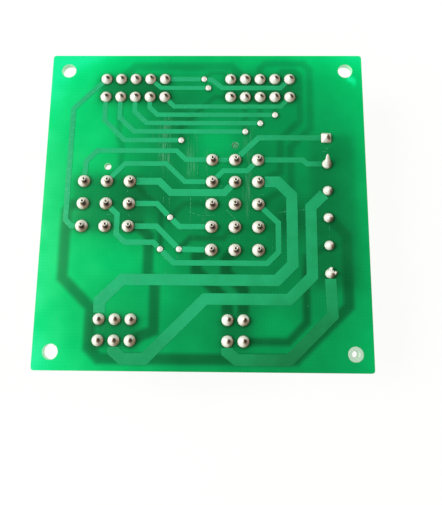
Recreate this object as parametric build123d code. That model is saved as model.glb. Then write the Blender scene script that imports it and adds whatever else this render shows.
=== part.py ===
from build123d import *

import os
from dataclasses import dataclass
from math import atan2, cos, degrees, pi, sqrt

# Junction board with plug headers, in millimetres. The soldered face looks up (+Z),
# the headers hang below it and the board stands on its two tallest ones at z = 0.
# X and Y are zero at the board's centre.

# Board
BOARD_SIDE = 88.9
BOARD_THICKNESS = 1.6
BOARD_CORNER_RADIUS = 0.8
MOUNT_HOLE_INSET = 4.7625
MOUNT_HOLE_DIAMETER = 4.1
FOIL_THICKNESS = 0.07
FOIL_GAP = 0.05
ROUTE_PITCH = 1.0

# Two-row headers with a 4.2 mm pitch
TWO_ROW_PITCH = 4.2
TWO_ROW_SPACING = 5.5
TWO_ROW_PIN = 1.07
TWO_ROW_LAND = 3.1
TWO_ROW_HEIGHT = 12.8
TWO_ROW_FLOOR = 3.4
TWO_ROW_END_WALL = 1.0
TWO_ROW_SIDE_WALL = 0.6
TWO_ROW_CELL_LENGTH = 3.4
TWO_ROW_CELL_WIDTH = 3.1
TWO_ROW_CELL_CHAMFER = 0.8
TWO_ROW_LATCH_WIDTH = 3.6

# Square-grid headers with a 6.35 mm pitch
GRID_PITCH = 6.35
GRID_TAIL = 1.2
GRID_CONTACT_DIAMETER = 2.13
GRID_LAND = 3.4
GRID_HEIGHT = 17.3
GRID_FLOOR = 4.2
GRID_WALL = 1.35
GRID_CELL = 5.3
GRID_CELL_CHAMFER = 1.3
GRID_KEY_CHAMFER = 2.2
GRID_LATCH_WIDTH = 5.0
PEG_DIAMETER = 1.9
PEG_HOLE_DIAMETER = 2.0
PEG_OFFSET = 4.25
PEG_TAB_WIDTH = 6.0
PEG_TAB_THICKNESS = 2.4
PEG_TAB_WALL = 1.0
PEG_RECESS = 0.3

# Single-row edge header with a 7.62 mm pitch
EDGE_PITCH = 7.62
EDGE_PIN = 1.0
EDGE_LAND = 2.6
EDGE_SQUARE_LAND = 2.9
EDGE_HEIGHT = 12.0
EDGE_FLOOR = 2.6
EDGE_WALL = 1.0
EDGE_END_MARGIN = 3.8
EDGE_INNER_MARGIN = 2.7
EDGE_DEPTH = 10.3
EDGE_RIB_DEPTH = 0.8
EDGE_RIB_THICKNESS = 0.9
EDGE_KEY_WIDTH = 2.2
EDGE_KEY_DEPTH = 3.5

# Places of each header's first pin, counted from the upper left
UPPER_LEFT_X = -28.6
UPPER_ROW_Y = 37.12
UPPER_HEADER_OFFSET = 35.56
NINE_X = -33.42
NINE_Y = 6.58
FIFTEEN_X = 2.0
FIFTEEN_Y = 12.88
EDGE_X = 33.7
EDGE_Y = 19.38
LOWER_LEFT_X = -27.39
LOWER_RIGHT_X = 6.48
LOWER_ROW_Y = -31.17

# Contacts, solder and latches
PIN_FIT_GAP = 0.03
PIN_RECESS = 2.0
SQUARE_POINT_LENGTH = 1.2
SQUARE_POINT_SHARE = 0.5
ROUND_POINT_LENGTH = 1.2
ROUND_POINT_SHARE = 0.4
SMALL_ROUND_SIDES = 10
SOLDER_HEIGHT = 1.75
SOLDER_SKIRT_HEIGHT = 0.5
SOLDER_SKIRT_SHARE = 0.74
SOLDER_TOP_SHARE = 0.14
SOLDER_COVER = 0.06
SPIKE_HEIGHT = 3.0
SPIKE_LEAN = 1.0
SPIKE_TOP_SHARE = 0.12
PYRAMID_TOP_SHARE = 0.2
VIA_LAND = 1.65
VIA_TOP_SHARE = 0.45
VIA_HEIGHT = 0.45
LATCH_DEPTH = 1.2
LATCH_HEIGHT = 3.2
LATCH_DROP = 3.0

# Hollow bush in the lower right mounting hole
BUSH_DIAMETER = 3.9
BUSH_BORE = 1.9
BUSH_COLLAR_DIAMETER = 5.6
BUSH_COLLAR_THICKNESS = 1.2

# Levels
HEADER_TOP = GRID_HEIGHT
BOARD_BOTTOM = HEADER_TOP + FOIL_THICKNESS
BOARD_TOP = BOARD_BOTTOM + BOARD_THICKNESS


@dataclass(frozen=True)
class Land:
    """A soldered place on the board: a header pin or a filled plated hole."""

    x: float
    y: float
    diameter: float


@dataclass(frozen=True)
class PinGrid:
    """The pins of one header, from its first pin towards +X and -Y."""

    x: float
    y: float
    columns: int
    rows: int
    pitch_x: float
    pitch_y: float
    land: float
    tail: float

    def pin(self, row, column):
        """The land of the pin in this row and column, both counted from one."""
        across = self.x + (column - 1) * self.pitch_x
        return Land(across, self.y - (row - 1) * self.pitch_y, self.land)

    def pins(self):
        """All lands with their row and column."""
        return [
            (row, column, self.pin(row, column))
            for row in range(1, self.rows + 1)
            for column in range(1, self.columns + 1)
        ]

    def centre(self):
        """The middle of the pins."""
        return (
            self.x + (self.columns - 1) * self.pitch_x / 2,
            self.y - (self.rows - 1) * self.pitch_y / 2,
        )

    def span(self):
        """The distances between the outermost pins."""
        return (self.columns - 1) * self.pitch_x, (self.rows - 1) * self.pitch_y


def two_row_grid(x, y, columns):
    return PinGrid(
        x, y, columns, 2, TWO_ROW_PITCH, TWO_ROW_SPACING, TWO_ROW_LAND, TWO_ROW_PIN
    )


def square_grid(x, y, columns, rows):
    return PinGrid(x, y, columns, rows, GRID_PITCH, GRID_PITCH, GRID_LAND, GRID_TAIL)


UPPER_LEFT = two_row_grid(UPPER_LEFT_X, UPPER_ROW_Y, 5)
UPPER_RIGHT = two_row_grid(UPPER_LEFT_X + UPPER_HEADER_OFFSET, UPPER_ROW_Y, 5)
NINE = square_grid(NINE_X, NINE_Y, 3, 3)
FIFTEEN = square_grid(FIFTEEN_X, FIFTEEN_Y, 3, 5)
EDGE = PinGrid(EDGE_X, EDGE_Y, 1, 6, EDGE_PITCH, EDGE_PITCH, EDGE_LAND, EDGE_PIN)
LOWER_LEFT = two_row_grid(LOWER_LEFT_X, LOWER_ROW_Y, 3)
LOWER_RIGHT = two_row_grid(LOWER_RIGHT_X, LOWER_ROW_Y, 2)
TWO_ROW_HEADERS = {
    "upper_left": UPPER_LEFT,
    "upper_right": UPPER_RIGHT,
    "lower_left": LOWER_LEFT,
    "lower_right": LOWER_RIGHT,
}
SQUARE_HEADERS = {"nine": NINE, "fifteen": FIFTEEN}
ALL_GRIDS = [*TWO_ROW_HEADERS.values(), *SQUARE_HEADERS.values(), EDGE]


def via(x, y):
    return Land(x * ROUTE_PITCH, y * ROUTE_PITCH, VIA_LAND)


VIA_TOP_WEST = via(-0.6, 37.1)
VIA_TOP_EAST = via(0.6, 34.4)
VIA_FAR = via(19.55, 26.2)
VIA_MIDDLE = via(15.35, 23.7)
VIA_NEAR = via(11.15, 21.2)
VIA_WEST = via(-6.8, 18.6)
VIA_CENTRE = via(-9.3, -3.6)
VIA_LOW_WEST = via(-11.8, -12.4)
VIA_LOW_EAST = via(-6.7, -12.4)
VIAS = [
    VIA_TOP_WEST,
    VIA_TOP_EAST,
    VIA_FAR,
    VIA_MIDDLE,
    VIA_NEAR,
    VIA_WEST,
    VIA_CENTRE,
    VIA_LOW_WEST,
    VIA_LOW_EAST,
]

# Tracks: width, first land, bends, last land
SOLDER_SIDE_ROUTES = [
    (1.25, UPPER_LEFT.pin(1, 4), [(-12.9, 34.4)], VIA_TOP_EAST),
    (1.4, UPPER_LEFT.pin(1, 5), [], VIA_TOP_WEST),
    (1.4, VIA_TOP_WEST, [(1.6, 36.9), (4.6, 34.4), (21.2, 34.4)], UPPER_RIGHT.pin(1, 5)),
    (1.3, UPPER_LEFT.pin(2, 5), [(-9.0, 28.7), (21.2, 28.7)], UPPER_RIGHT.pin(2, 5)),
    (1.35, UPPER_LEFT.pin(2, 4), [(-16.0, 28.5), (-13.7, 26.2)], VIA_FAR),
    (1.35, UPPER_LEFT.pin(2, 3), [(-20.2, 27.2), (-16.6, 23.7)], VIA_MIDDLE),
    (1.35, UPPER_LEFT.pin(2, 2), [(-24.4, 25.4), (-20.1, 21.2)], VIA_NEAR),
    (1.35, UPPER_LEFT.pin(2, 1), [(-28.6, 24.6), (-22.7, 18.6)], VIA_WEST),
    (
        1.4,
        NINE.pin(1, 1),
        [(-33.1, 12.4), (-30.1, 15.5), (-8.0, 15.5), (-5.3, 12.88)],
        FIFTEEN.pin(1, 1),
    ),
    (1.4, FIFTEEN.pin(1, 1), [], FIFTEEN.pin(1, 2)),
    (1.4, NINE.pin(1, 2), [(-22.2, 11.7), (-10.8, 11.7), (-5.5, 6.53)], FIFTEEN.pin(2, 1)),
    (2.0, NINE.pin(1, 3), [(-12.5, 6.58), (-9.3, 3.4), (5.4, 3.4)], FIFTEEN.pin(2, 2)),
    (1.5, FIFTEEN.pin(1, 3), [(27.0, 12.88), (28.3, 11.76)], EDGE.pin(2, 1)),
    (1.6, FIFTEEN.pin(1, 2), [(14.9, 19.38)], EDGE.pin(1, 1)),
    (1.45, FIFTEEN.pin(2, 1), [(5.1, 9.7), (11.7, 9.7)], FIFTEEN.pin(1, 3)),
    (
        3.05,
        FIFTEEN.pin(2, 3),
        [
            (20.0, 6.6),
            (23.85, 2.7),
            (23.85, -16.3),
            (19.55, -20.65),
            (-21.6, -20.65),
            (-27.39, -26.4),
        ],
        LOWER_LEFT.pin(1, 1),
    ),
    (
        3.05,
        EDGE.pin(3, 1),
        [
            (29.0, -0.55),
            (29.0, -19.5),
            (22.75, -25.7),
            (0.5, -25.7),
            (-15.1, -41.35),
            (-20.8, -41.35),
            (-23.1, -39.4),
        ],
        LOWER_LEFT.pin(2, 2),
    ),
    (
        3.0,
        EDGE.pin(6, 1),
        [(34.1, -29.8), (22.5, -41.35), (9.0, -41.35), (6.5, -39.4)],
        LOWER_RIGHT.pin(2, 1),
    ),
    (
        1.5,
        NINE.pin(2, 2),
        [(-23.8, -2.8), (-23.8, -8.3), (-21.5, -10.55), (-13.6, -10.55)],
        VIA_LOW_WEST,
    ),
    (
        1.5,
        VIA_LOW_WEST,
        [(-8.0, -16.1), (17.0, -16.1), (20.1, -13.0), (20.1, -5.0)],
        FIFTEEN.pin(3, 3),
    ),
    (1.5, NINE.pin(2, 3), [(-13.0, 0.23)], VIA_CENTRE),
    (1.5, VIA_CENTRE, [(-6.7, -6.17)], FIFTEEN.pin(4, 1)),
    (1.55, NINE.pin(3, 3), [(-12.9, -6.12)], VIA_LOW_EAST),
    (1.55, VIA_LOW_EAST, [], FIFTEEN.pin(5, 1)),
    (1.45, UPPER_LEFT.pin(1, 1), [(-37.65, 28.0), (-37.9, -4.4), (-36.3, -6.12)], NINE.pin(3, 1)),
]
COMPONENT_SIDE_ROUTES = [
    (
        2.8,
        NINE.pin(2, 1),
        [
            (-36.4, 0.0),
            (-37.75, -1.8),
            (-37.75, -20.3),
            (-29.7, -28.2),
            (-29.7, -38.6),
            (-26.9, -41.3),
            (24.2, -41.3),
            (38.4, -27.3),
            (38.4, -8.2),
        ],
        EDGE.pin(4, 1),
    ),
    (
        2.8,
        NINE.pin(3, 3),
        [(-17.5, -6.2), (-14.9, -8.8), (-14.9, -19.2), (-12.9, -21.2), (-12.9, -34.0)],
        LOWER_LEFT.pin(2, 3),
    ),
    (3.0, FIFTEEN.pin(5, 1), [(-1.9, -14.4), (-1.9, -18.2), (6.48, -26.6)], LOWER_RIGHT.pin(1, 1)),
    (3.0, FIFTEEN.pin(5, 2), [(6.0, -15.2), (6.0, -18.6), (10.68, -23.3)], LOWER_RIGHT.pin(1, 2)),
    (2.0, LOWER_RIGHT.pin(2, 2), [(22.4, -36.67), (27.3, -31.6), (27.3, -14.4)], EDGE.pin(5, 1)),
    (
        2.0,
        UPPER_RIGHT.pin(1, 3),
        [
            (15.36, 40.4),
            (16.9, 41.9),
            (27.6, 41.9),
            (29.4, 40.1),
            (29.4, 22.2),
            (23.8, 16.6),
            (23.8, 5.6),
        ],
        FIFTEEN.pin(3, 3),
    ),
    (
        2.0,
        UPPER_RIGHT.pin(1, 4),
        [(21.9, 39.5), (25.1, 39.5), (26.6, 38.0), (26.6, 24.6), (20.9, 18.9), (20.9, 9.4)],
        FIFTEEN.pin(2, 3),
    ),
    (2.3, UPPER_LEFT.pin(1, 2), [(-20.4, 41.1), (7.2, 41.1)], UPPER_RIGHT.pin(1, 2)),
    (1.4, VIA_TOP_WEST, [(1.3, 39.0), (5.0, 39.0)], UPPER_RIGHT.pin(1, 1)),
    (1.4, VIA_FAR, [], UPPER_RIGHT.pin(2, 4)),
    (1.4, VIA_MIDDLE, [], UPPER_RIGHT.pin(2, 3)),
    (1.4, VIA_NEAR, [], UPPER_RIGHT.pin(2, 2)),
    (1.4, VIA_WEST, [(-6.8, 22.4), (2.4, 31.62)], UPPER_RIGHT.pin(2, 1)),
    (1.6, NINE.pin(1, 2), [(-23.4, 10.3), (-23.4, 18.0), (-24.4, 19.0)], UPPER_LEFT.pin(2, 2)),
    (1.5, VIA_CENTRE, [(-5.5, 0.18)], FIFTEEN.pin(3, 1)),
    (1.5, VIA_LOW_EAST, [(-3.6, -9.3), (5.2, -9.3)], FIFTEEN.pin(4, 2)),
    (1.5, VIA_LOW_WEST, [(-11.8, -1.6), (-18.2, 4.8)], NINE.pin(1, 3)),
]


def square_at(x, y, side):
    return Pos(x, y) * Rectangle(side, side)


def circle_at(x, y, diameter):
    return Pos(x, y) * Circle(diameter / 2)


def raised(sketch, level, height):
    """The sketch drawn at this level and given this height."""
    return extrude(Pos(0, 0, level) * sketch, amount=height)


def mount_hole_places():
    """The four mounting holes, counter-clockwise from the lower left."""
    half = BOARD_SIDE / 2 - MOUNT_HOLE_INSET
    return [(-half, -half), (half, -half), (half, half), (-half, half)]


def bush_place():
    return mount_hole_places()[1]


def peg_hole_places():
    """The two locating holes, past the middle of each square header's first row. The smaller
    header has no peg, so its hole stays open."""
    return [(grid.centre()[0], grid.y + PEG_OFFSET) for grid in SQUARE_HEADERS.values()]


def tail_openings(grid, gap):
    """The pins' own sections, widened by a gap all round."""
    side = grid.tail + 2 * gap
    return Sketch() + [square_at(land.x, land.y, side) for _, _, land in grid.pins()]


def laminate():
    """The glass-epoxy board. Its drilled pin holes are plated and filled with solder, so that
    only the pins' own sections stay open in it."""
    outline = RectangleRounded(BOARD_SIDE, BOARD_SIDE, BOARD_CORNER_RADIUS)
    outline -= [circle_at(x, y, MOUNT_HOLE_DIAMETER) for x, y in mount_hole_places()]
    outline -= [circle_at(x, y, PEG_HOLE_DIAMETER) for x, y in peg_hole_places()]
    for grid in ALL_GRIDS:
        outline -= tail_openings(grid, PIN_FIT_GAP)
    return raised(outline, BOARD_BOTTOM, BOARD_THICKNESS)


def band(points, width):
    """A band of one width along a broken line, mitred at its bends."""
    left = []
    right = []
    for index, point in enumerate(points):
        into = point - points[index - 1] if index else points[1] - point
        out_of = points[index + 1] - point if index + 1 < len(points) else into
        normals = [Vector(-way.Y, way.X).normalized() for way in (into, out_of)]
        mitre = (normals[0] + normals[1]) / (1 + normals[0].dot(normals[1]))
        left.append(point + mitre * (width / 2))
        right.append(point - mitre * (width / 2))
    return make_face(Polyline(*left, *reversed(right), close=True))


def track(width, first, bends, last, clearance):
    """A track from one land's rim to another's."""
    points = [Vector(first.x, first.y)]
    points += [Vector(x * ROUTE_PITCH, y * ROUTE_PITCH) for x, y in bends]
    points.append(Vector(last.x, last.y))
    start = (points[1] - points[0]).normalized() * (first.diameter / 2 + clearance)
    end = (points[-2] - points[-1]).normalized() * (last.diameter / 2 + clearance)
    points[0] += start
    points[-1] += end
    return band(points, width)


def foil(routes, level):
    """All tracks of one face, kept clear of every soldered land and locating hole."""
    copper = Sketch() + [track(*route, 2 * FOIL_GAP) for route in routes]
    lands = [land for grid in ALL_GRIDS for _, _, land in grid.pins()] + VIAS
    copper -= [circle_at(land.x, land.y, land.diameter + 2 * FOIL_GAP) for land in lands]
    copper -= [circle_at(x, y, PEG_HOLE_DIAMETER + 2 * FOIL_GAP) for x, y in peg_hole_places()]
    copper -= square_at(EDGE.x, EDGE.y, EDGE_SQUARE_LAND + 2 * FOIL_GAP)
    return raised(copper, level, FOIL_THICKNESS)


def tapered(outline, inset, height):
    """A prism whose sides lean inwards by this inset over its height."""
    return extrude(outline, amount=height, taper=degrees(atan2(inset, height)))


def small_round(radius):
    """A small round section, drawn with few sides because it is repeated many times."""
    return RegularPolygon(radius, SMALL_ROUND_SIDES)


def small_cone(low_radius, high_radius, height):
    """A cone of small round sections, standing on the XY plane."""
    flat_share = cos(pi / SMALL_ROUND_SIDES)
    return tapered(small_round(low_radius), (low_radius - high_radius) * flat_share, height)


def pin_end(grid):
    """How far a pin stands above the board and still lies inside its solder cone."""
    cone_foot = grid.land / 2 * SOLDER_SKIRT_SHARE
    lean = (cone_foot - grid.land / 2 * SOLDER_TOP_SHARE) / (SOLDER_HEIGHT - SOLDER_SKIRT_HEIGHT)
    room = cone_foot * cos(pi / SMALL_ROUND_SIDES) - grid.tail / sqrt(2) - SOLDER_COVER
    return SOLDER_SKIRT_HEIGHT + room / lean


def solder_cone(grid, land):
    """Solder drawn up round a pin from its round land: a flaring skirt and a steeper cone."""
    foot, waist, top = (
        land.diameter / 2 * share for share in (1, SOLDER_SKIRT_SHARE, SOLDER_TOP_SHARE)
    )
    skirt = small_cone(foot, waist, SOLDER_SKIRT_HEIGHT)
    peak = small_cone(waist, top, SOLDER_HEIGHT - SOLDER_SKIRT_HEIGHT)
    cone = skirt + Pos(0, 0, SOLDER_SKIRT_HEIGHT) * peak
    return Pos(land.x, land.y, BOARD_TOP) * cone - pin_socket(grid, land)


def solder_pyramid(grid, land):
    """The first edge pin's solder, on a square land."""
    inset = EDGE_SQUARE_LAND * (1 - PYRAMID_TOP_SHARE) / 2
    pyramid = tapered(Rectangle(EDGE_SQUARE_LAND, EDGE_SQUARE_LAND), inset, SOLDER_HEIGHT)
    return Pos(land.x, land.y, BOARD_TOP) * pyramid - pin_socket(grid, land)


def solder_spike(grid, land):
    """The second edge pin's solder, drawn out into a leaning spike."""
    radius = land.diameter / 2
    base = small_round(radius)
    tip = Pos(0, SPIKE_LEAN, SPIKE_HEIGHT) * small_round(radius * SPIKE_TOP_SHARE)
    spike = loft([base.face(), tip.face()], ruled=True)
    return Pos(land.x, land.y, BOARD_TOP) * spike - pin_socket(grid, land)


def pin_socket(grid, land):
    """The room that the pin takes inside its solder."""
    return raised(square_at(land.x, land.y, grid.tail), BOARD_TOP, pin_end(grid))


def solder_joints():
    joints = []
    for grid in ALL_GRIDS:
        for row, _, land in grid.pins():
            shape = solder_cone
            if grid is EDGE and row == 1:
                shape = solder_pyramid
            if grid is EDGE and row == 2:
                shape = solder_spike
            joints.append(shape(grid, land))
    return joints


def via_caps():
    """Low caps of solder over the filled plated holes."""
    cap = small_cone(VIA_LAND / 2, VIA_LAND / 2 * VIA_TOP_SHARE, VIA_HEIGHT)
    return [Pos(land.x, land.y, BOARD_TOP) * cap for land in VIAS]


def latch_ramp(width):
    """A ramp that a plug's latch snaps over. It stands out towards +Y from the origin and
    hangs down from it."""
    profile = Polyline((0, 0, 0), (0, LATCH_DEPTH, 0), (0, 0, -LATCH_HEIGHT), close=True)
    return Pos(-width / 2, 0, 0) * extrude(make_face(profile), amount=width, dir=(1, 0, 0))


def chamfered_cell(length, width, cut, corners):
    """A socket cell's section with some of its four corners cut off."""
    outline = Rectangle(length, width)
    return chamfer(outline.vertices().sort_by(Axis.X)[corners], cut)


def two_row_housing(grid):
    """A moulded housing with one keyed cell round each pin and a latch ramp outside."""
    across, along = grid.centre()
    span_x, span_y = grid.span()
    length = span_x + TWO_ROW_CELL_LENGTH + 2 * TWO_ROW_END_WALL
    width = span_y + TWO_ROW_CELL_WIDTH + 2 * TWO_ROW_SIDE_WALL
    bottom = HEADER_TOP - TWO_ROW_HEIGHT
    body = raised(Pos(across, along) * Rectangle(length, width), bottom, TWO_ROW_HEIGHT)
    plain = Rectangle(TWO_ROW_CELL_LENGTH, TWO_ROW_CELL_WIDTH)
    keyed = chamfered_cell(
        TWO_ROW_CELL_LENGTH, TWO_ROW_CELL_WIDTH, TWO_ROW_CELL_CHAMFER, slice(2, 4)
    )
    cells = Sketch()
    for row, column, land in grid.pins():
        cells += Pos(land.x, land.y) * (keyed if (row + column) % 2 else plain)
    body -= raised(cells, bottom, TWO_ROW_HEIGHT - TWO_ROW_FLOOR)
    body -= raised(tail_openings(grid, 0), HEADER_TOP - TWO_ROW_FLOOR, TWO_ROW_FLOOR)
    outward = 1 if along > 0 else -1
    ramp = latch_ramp(min(TWO_ROW_LATCH_WIDTH, length))
    ramp = Rot(0, 0, 0 if outward > 0 else 180) * ramp
    return body + Pos(across, along + outward * width / 2, HEADER_TOP - LATCH_DROP) * ramp


def square_grid_housing(grid):
    """A tall moulded housing with a cell round each contact and latch ramps on both sides.
    The larger one also has a tab that carries its locating peg."""
    across, along = grid.centre()
    span_x, span_y = grid.span()
    length = span_x + GRID_CELL + 2 * GRID_WALL
    width = span_y + GRID_CELL + 2 * GRID_WALL
    bottom = HEADER_TOP - GRID_HEIGHT
    body = raised(Pos(across, along) * Rectangle(length, width), bottom, GRID_HEIGHT)
    plain = chamfered_cell(GRID_CELL, GRID_CELL, GRID_CELL_CHAMFER, slice(0, 4))
    keyed = chamfered_cell(GRID_CELL, GRID_CELL, GRID_KEY_CHAMFER, slice(2, 4))
    cells = Sketch()
    for row, column, land in grid.pins():
        cells += Pos(land.x, land.y) * (keyed if row == column else plain)
    body -= raised(cells, bottom, GRID_HEIGHT - GRID_FLOOR)
    body -= raised(tail_openings(grid, 0), HEADER_TOP - GRID_FLOOR, GRID_FLOOR)
    ramp = latch_ramp(GRID_LATCH_WIDTH)
    for side, turn in ((1, -90), (-1, 90)):
        place = Pos(across + side * length / 2, along, HEADER_TOP - LATCH_DROP)
        body += place * Rot(0, 0, turn) * ramp
    return body + peg_tab(grid, along + width / 2) if grid is FIFTEEN else body


def peg_tab(grid, wall_y):
    """The locating peg and the tab under it, which stands out from the housing's wall."""
    across = grid.centre()[0]
    peg_y = grid.y + PEG_OFFSET
    reach = peg_y + PEG_DIAMETER / 2 + PEG_TAB_WALL
    tab = Pos(across, (wall_y + reach) / 2) * Rectangle(PEG_TAB_WIDTH, reach - wall_y)
    tab = raised(tab, HEADER_TOP - PEG_TAB_THICKNESS, PEG_TAB_THICKNESS)
    peg_length = FOIL_THICKNESS + BOARD_THICKNESS - PEG_RECESS
    return tab + raised(circle_at(across, peg_y, PEG_DIAMETER), HEADER_TOP, peg_length)


def edge_housing():
    """A shroud round the single row, with ribs between the ways and a key slot for each."""
    span = EDGE.span()[1]
    along = EDGE.centre()[1]
    bottom = HEADER_TOP - EDGE_HEIGHT
    length = span + 2 * EDGE_END_MARGIN
    middle = EDGE_X - EDGE_INNER_MARGIN + EDGE_DEPTH / 2
    outline = Pos(middle, along) * Rectangle(EDGE_DEPTH, length)
    pocket = Rectangle(EDGE_DEPTH - 2 * EDGE_WALL, length - 2 * EDGE_WALL)
    body = raised(outline, bottom, EDGE_HEIGHT)
    body -= raised(Pos(middle, along) * pocket, bottom, EDGE_HEIGHT - EDGE_FLOOR)
    body -= raised(tail_openings(EDGE, 0), HEADER_TOP - EDGE_FLOOR, EDGE_FLOOR)
    inner_wall = EDGE_X - EDGE_INNER_MARGIN + EDGE_WALL
    outer_wall = middle + EDGE_DEPTH / 2
    for row in range(1, EDGE.rows):
        rib_y = EDGE_Y - (row - 0.5) * EDGE_PITCH
        rib = Pos(inner_wall + EDGE_RIB_DEPTH / 2, rib_y)
        rib *= Rectangle(EDGE_RIB_DEPTH, EDGE_RIB_THICKNESS)
        body += raised(rib, bottom, EDGE_HEIGHT - EDGE_FLOOR)
    for _, _, land in EDGE.pins():
        slot = Pos(outer_wall - EDGE_WALL / 2, land.y) * Rectangle(EDGE_WALL, EDGE_KEY_WIDTH)
        body -= raised(slot, bottom, EDGE_KEY_DEPTH)
    return body


def square_pin(grid, height):
    """A square pin, from its point below to its end inside the solder."""
    top = BOARD_TOP + pin_end(grid)
    shoulder = HEADER_TOP - height + PIN_RECESS + SQUARE_POINT_LENGTH
    shank = raised(square_at(0, 0, grid.tail), shoulder, top - shoulder)
    inset = grid.tail * (1 - SQUARE_POINT_SHARE) / 2
    point = tapered(Rectangle(grid.tail, grid.tail), inset, SQUARE_POINT_LENGTH)
    return shank + Pos(0, 0, shoulder) * Rot(180, 0, 0) * point


def round_contact():
    """A round contact below its housing's floor, on a flat-sided tail through the board."""
    top = BOARD_TOP + pin_end(NINE)
    floor_level = HEADER_TOP - GRID_FLOOR
    shoulder = HEADER_TOP - GRID_HEIGHT + PIN_RECESS + ROUND_POINT_LENGTH
    tail = raised(square_at(0, 0, GRID_TAIL), floor_level, top - floor_level)
    radius = GRID_CONTACT_DIAMETER / 2
    barrel = raised(small_round(radius), shoulder, floor_level - shoulder)
    point = small_cone(radius, radius * ROUND_POINT_SHARE, ROUND_POINT_LENGTH)
    return tail + barrel + Pos(0, 0, shoulder) * Rot(180, 0, 0) * point


def at_pins(grid, shape):
    return [Pos(land.x, land.y) * shape for _, _, land in grid.pins()]


def corner_bush():
    """A hollow bush, flush with the soldered face and held by its collar below."""
    place = Pos(*bush_place())
    bore = Circle(BUSH_BORE / 2)
    barrel = raised(place * (Circle(BUSH_DIAMETER / 2) - bore), BOARD_BOTTOM, BOARD_THICKNESS)
    collar = place * (Circle(BUSH_COLLAR_DIAMETER / 2) - bore)
    return barrel + raised(
        collar, BOARD_BOTTOM - BUSH_COLLAR_THICKNESS, BUSH_COLLAR_THICKNESS
    )


def nodes():
    """Every separate piece, or group of like pieces, by name."""
    pieces = {
        "laminate": [laminate()],
        "solder_side_tracks": [foil(SOLDER_SIDE_ROUTES, BOARD_TOP)],
        "component_side_tracks": [foil(COMPONENT_SIDE_ROUTES, HEADER_TOP)],
        "solder_joints": solder_joints(),
        "via_caps": via_caps(),
        "corner_bush": [corner_bush()],
        "header_edge": [edge_housing()],
        "pins_edge": at_pins(EDGE, square_pin(EDGE, EDGE_HEIGHT)),
    }
    for name, grid in TWO_ROW_HEADERS.items():
        pieces[f"header_{name}"] = [two_row_housing(grid)]
        pieces[f"pins_{name}"] = at_pins(grid, square_pin(grid, TWO_ROW_HEIGHT))
    for name, grid in SQUARE_HEADERS.items():
        pieces[f"header_{name}"] = [square_grid_housing(grid)]
        pieces[f"pins_{name}"] = at_pins(grid, round_contact())
    return pieces


def main():
    os.makedirs("parts", exist_ok=True)
    for name, shapes in nodes().items():
        solids = [solid for shape in shapes for solid in shape.solids()]
        export_step(Compound(solids, label=name), f"parts/{name}.step")


main()
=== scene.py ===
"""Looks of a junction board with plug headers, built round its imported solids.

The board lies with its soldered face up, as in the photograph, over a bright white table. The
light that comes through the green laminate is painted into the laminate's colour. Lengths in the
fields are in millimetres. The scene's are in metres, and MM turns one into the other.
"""

from __future__ import annotations

import logging
import math
import random
from collections import Counter
from contextlib import contextmanager
from dataclasses import dataclass, field
from enum import Enum
from typing import Any, Callable, Iterator, Sequence

import bmesh
import bpy
import numpy as np
from mathutils import Matrix, Quaternion, Vector
from mathutils.bvhtree import BVHTree

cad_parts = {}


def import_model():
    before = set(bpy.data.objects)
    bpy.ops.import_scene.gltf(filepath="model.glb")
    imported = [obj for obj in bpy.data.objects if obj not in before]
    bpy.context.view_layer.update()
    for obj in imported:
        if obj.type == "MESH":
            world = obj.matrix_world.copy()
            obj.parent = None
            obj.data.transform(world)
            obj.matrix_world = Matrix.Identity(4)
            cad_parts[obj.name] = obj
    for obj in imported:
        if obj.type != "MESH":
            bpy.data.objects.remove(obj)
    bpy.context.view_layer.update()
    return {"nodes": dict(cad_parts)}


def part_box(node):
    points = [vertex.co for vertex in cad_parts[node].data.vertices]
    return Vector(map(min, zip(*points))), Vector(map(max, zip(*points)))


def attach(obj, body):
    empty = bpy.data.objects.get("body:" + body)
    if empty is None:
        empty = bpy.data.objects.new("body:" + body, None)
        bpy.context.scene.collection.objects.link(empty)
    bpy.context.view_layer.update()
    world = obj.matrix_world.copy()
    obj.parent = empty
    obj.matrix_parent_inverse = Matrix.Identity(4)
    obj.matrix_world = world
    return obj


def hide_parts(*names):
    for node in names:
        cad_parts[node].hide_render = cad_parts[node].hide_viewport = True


MM = 0.001
BODY = "root"
WAVE_PERIOD = 0.314  # the length of one band of the wave texture at a scale of 1
LOG = logging.getLogger("junction_board")

Point = tuple[float, float]
Place = tuple[float, float, float]
Spot = tuple[float, float, float]  # X, Y and radius
Stroke = tuple[float, float, float, float]  # X and Y of one end and of the other
Colour = tuple[float, float, float, float]


# Working helpers


def linear_colour(code: str) -> Colour:
    """Turns an sRGB hex colour into the linear values that a shader takes.

    Args:
        code: The colour as "#rrggbb".

    Returns:
        Red, green, blue and a full alpha.
    """
    channels = [int(code[start : start + 2], 16) / 255 for start in (1, 3, 5)]
    red, green, blue = (
        value / 12.92 if value <= 0.04045 else ((value + 0.055) / 1.055) ** 2.4
        for value in channels
    )
    return red, green, blue, 1.0


def add_node(
    tree: bpy.types.NodeTree,
    kind: str,
    settings: dict[str | int, Any] | None = None,
    links: dict[str | int, bpy.types.NodeSocket] | None = None,
) -> bpy.types.Node:
    """Adds a node with its settings and links.

    Args:
        tree: The node tree that gets the node.
        kind: The node's type name.
        settings: Values by socket name or number, or by the node's own property. "stops"
            holds a colour ramp's places and colours.
        links: Sockets to link from, by input name or number.

    Returns:
        The new node.
    """
    node = tree.nodes.new(kind)
    late = {}
    for key, value in (settings or {}).items():
        if key == "stops":
            ramp = node.color_ramp
            while len(ramp.elements) < len(value):
                ramp.elements.new(1.0)
            for element, (place, colour) in zip(ramp.elements, value):
                element.position, element.color = place, colour
        elif isinstance(key, int) or key in node.inputs:
            late[key] = value
        else:
            setattr(node, key, value)
    for key, value in late.items():
        node.inputs[key].default_value = value
    for key, source in (links or {}).items():
        tree.links.new(source, node.inputs[key])
    return node


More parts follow.
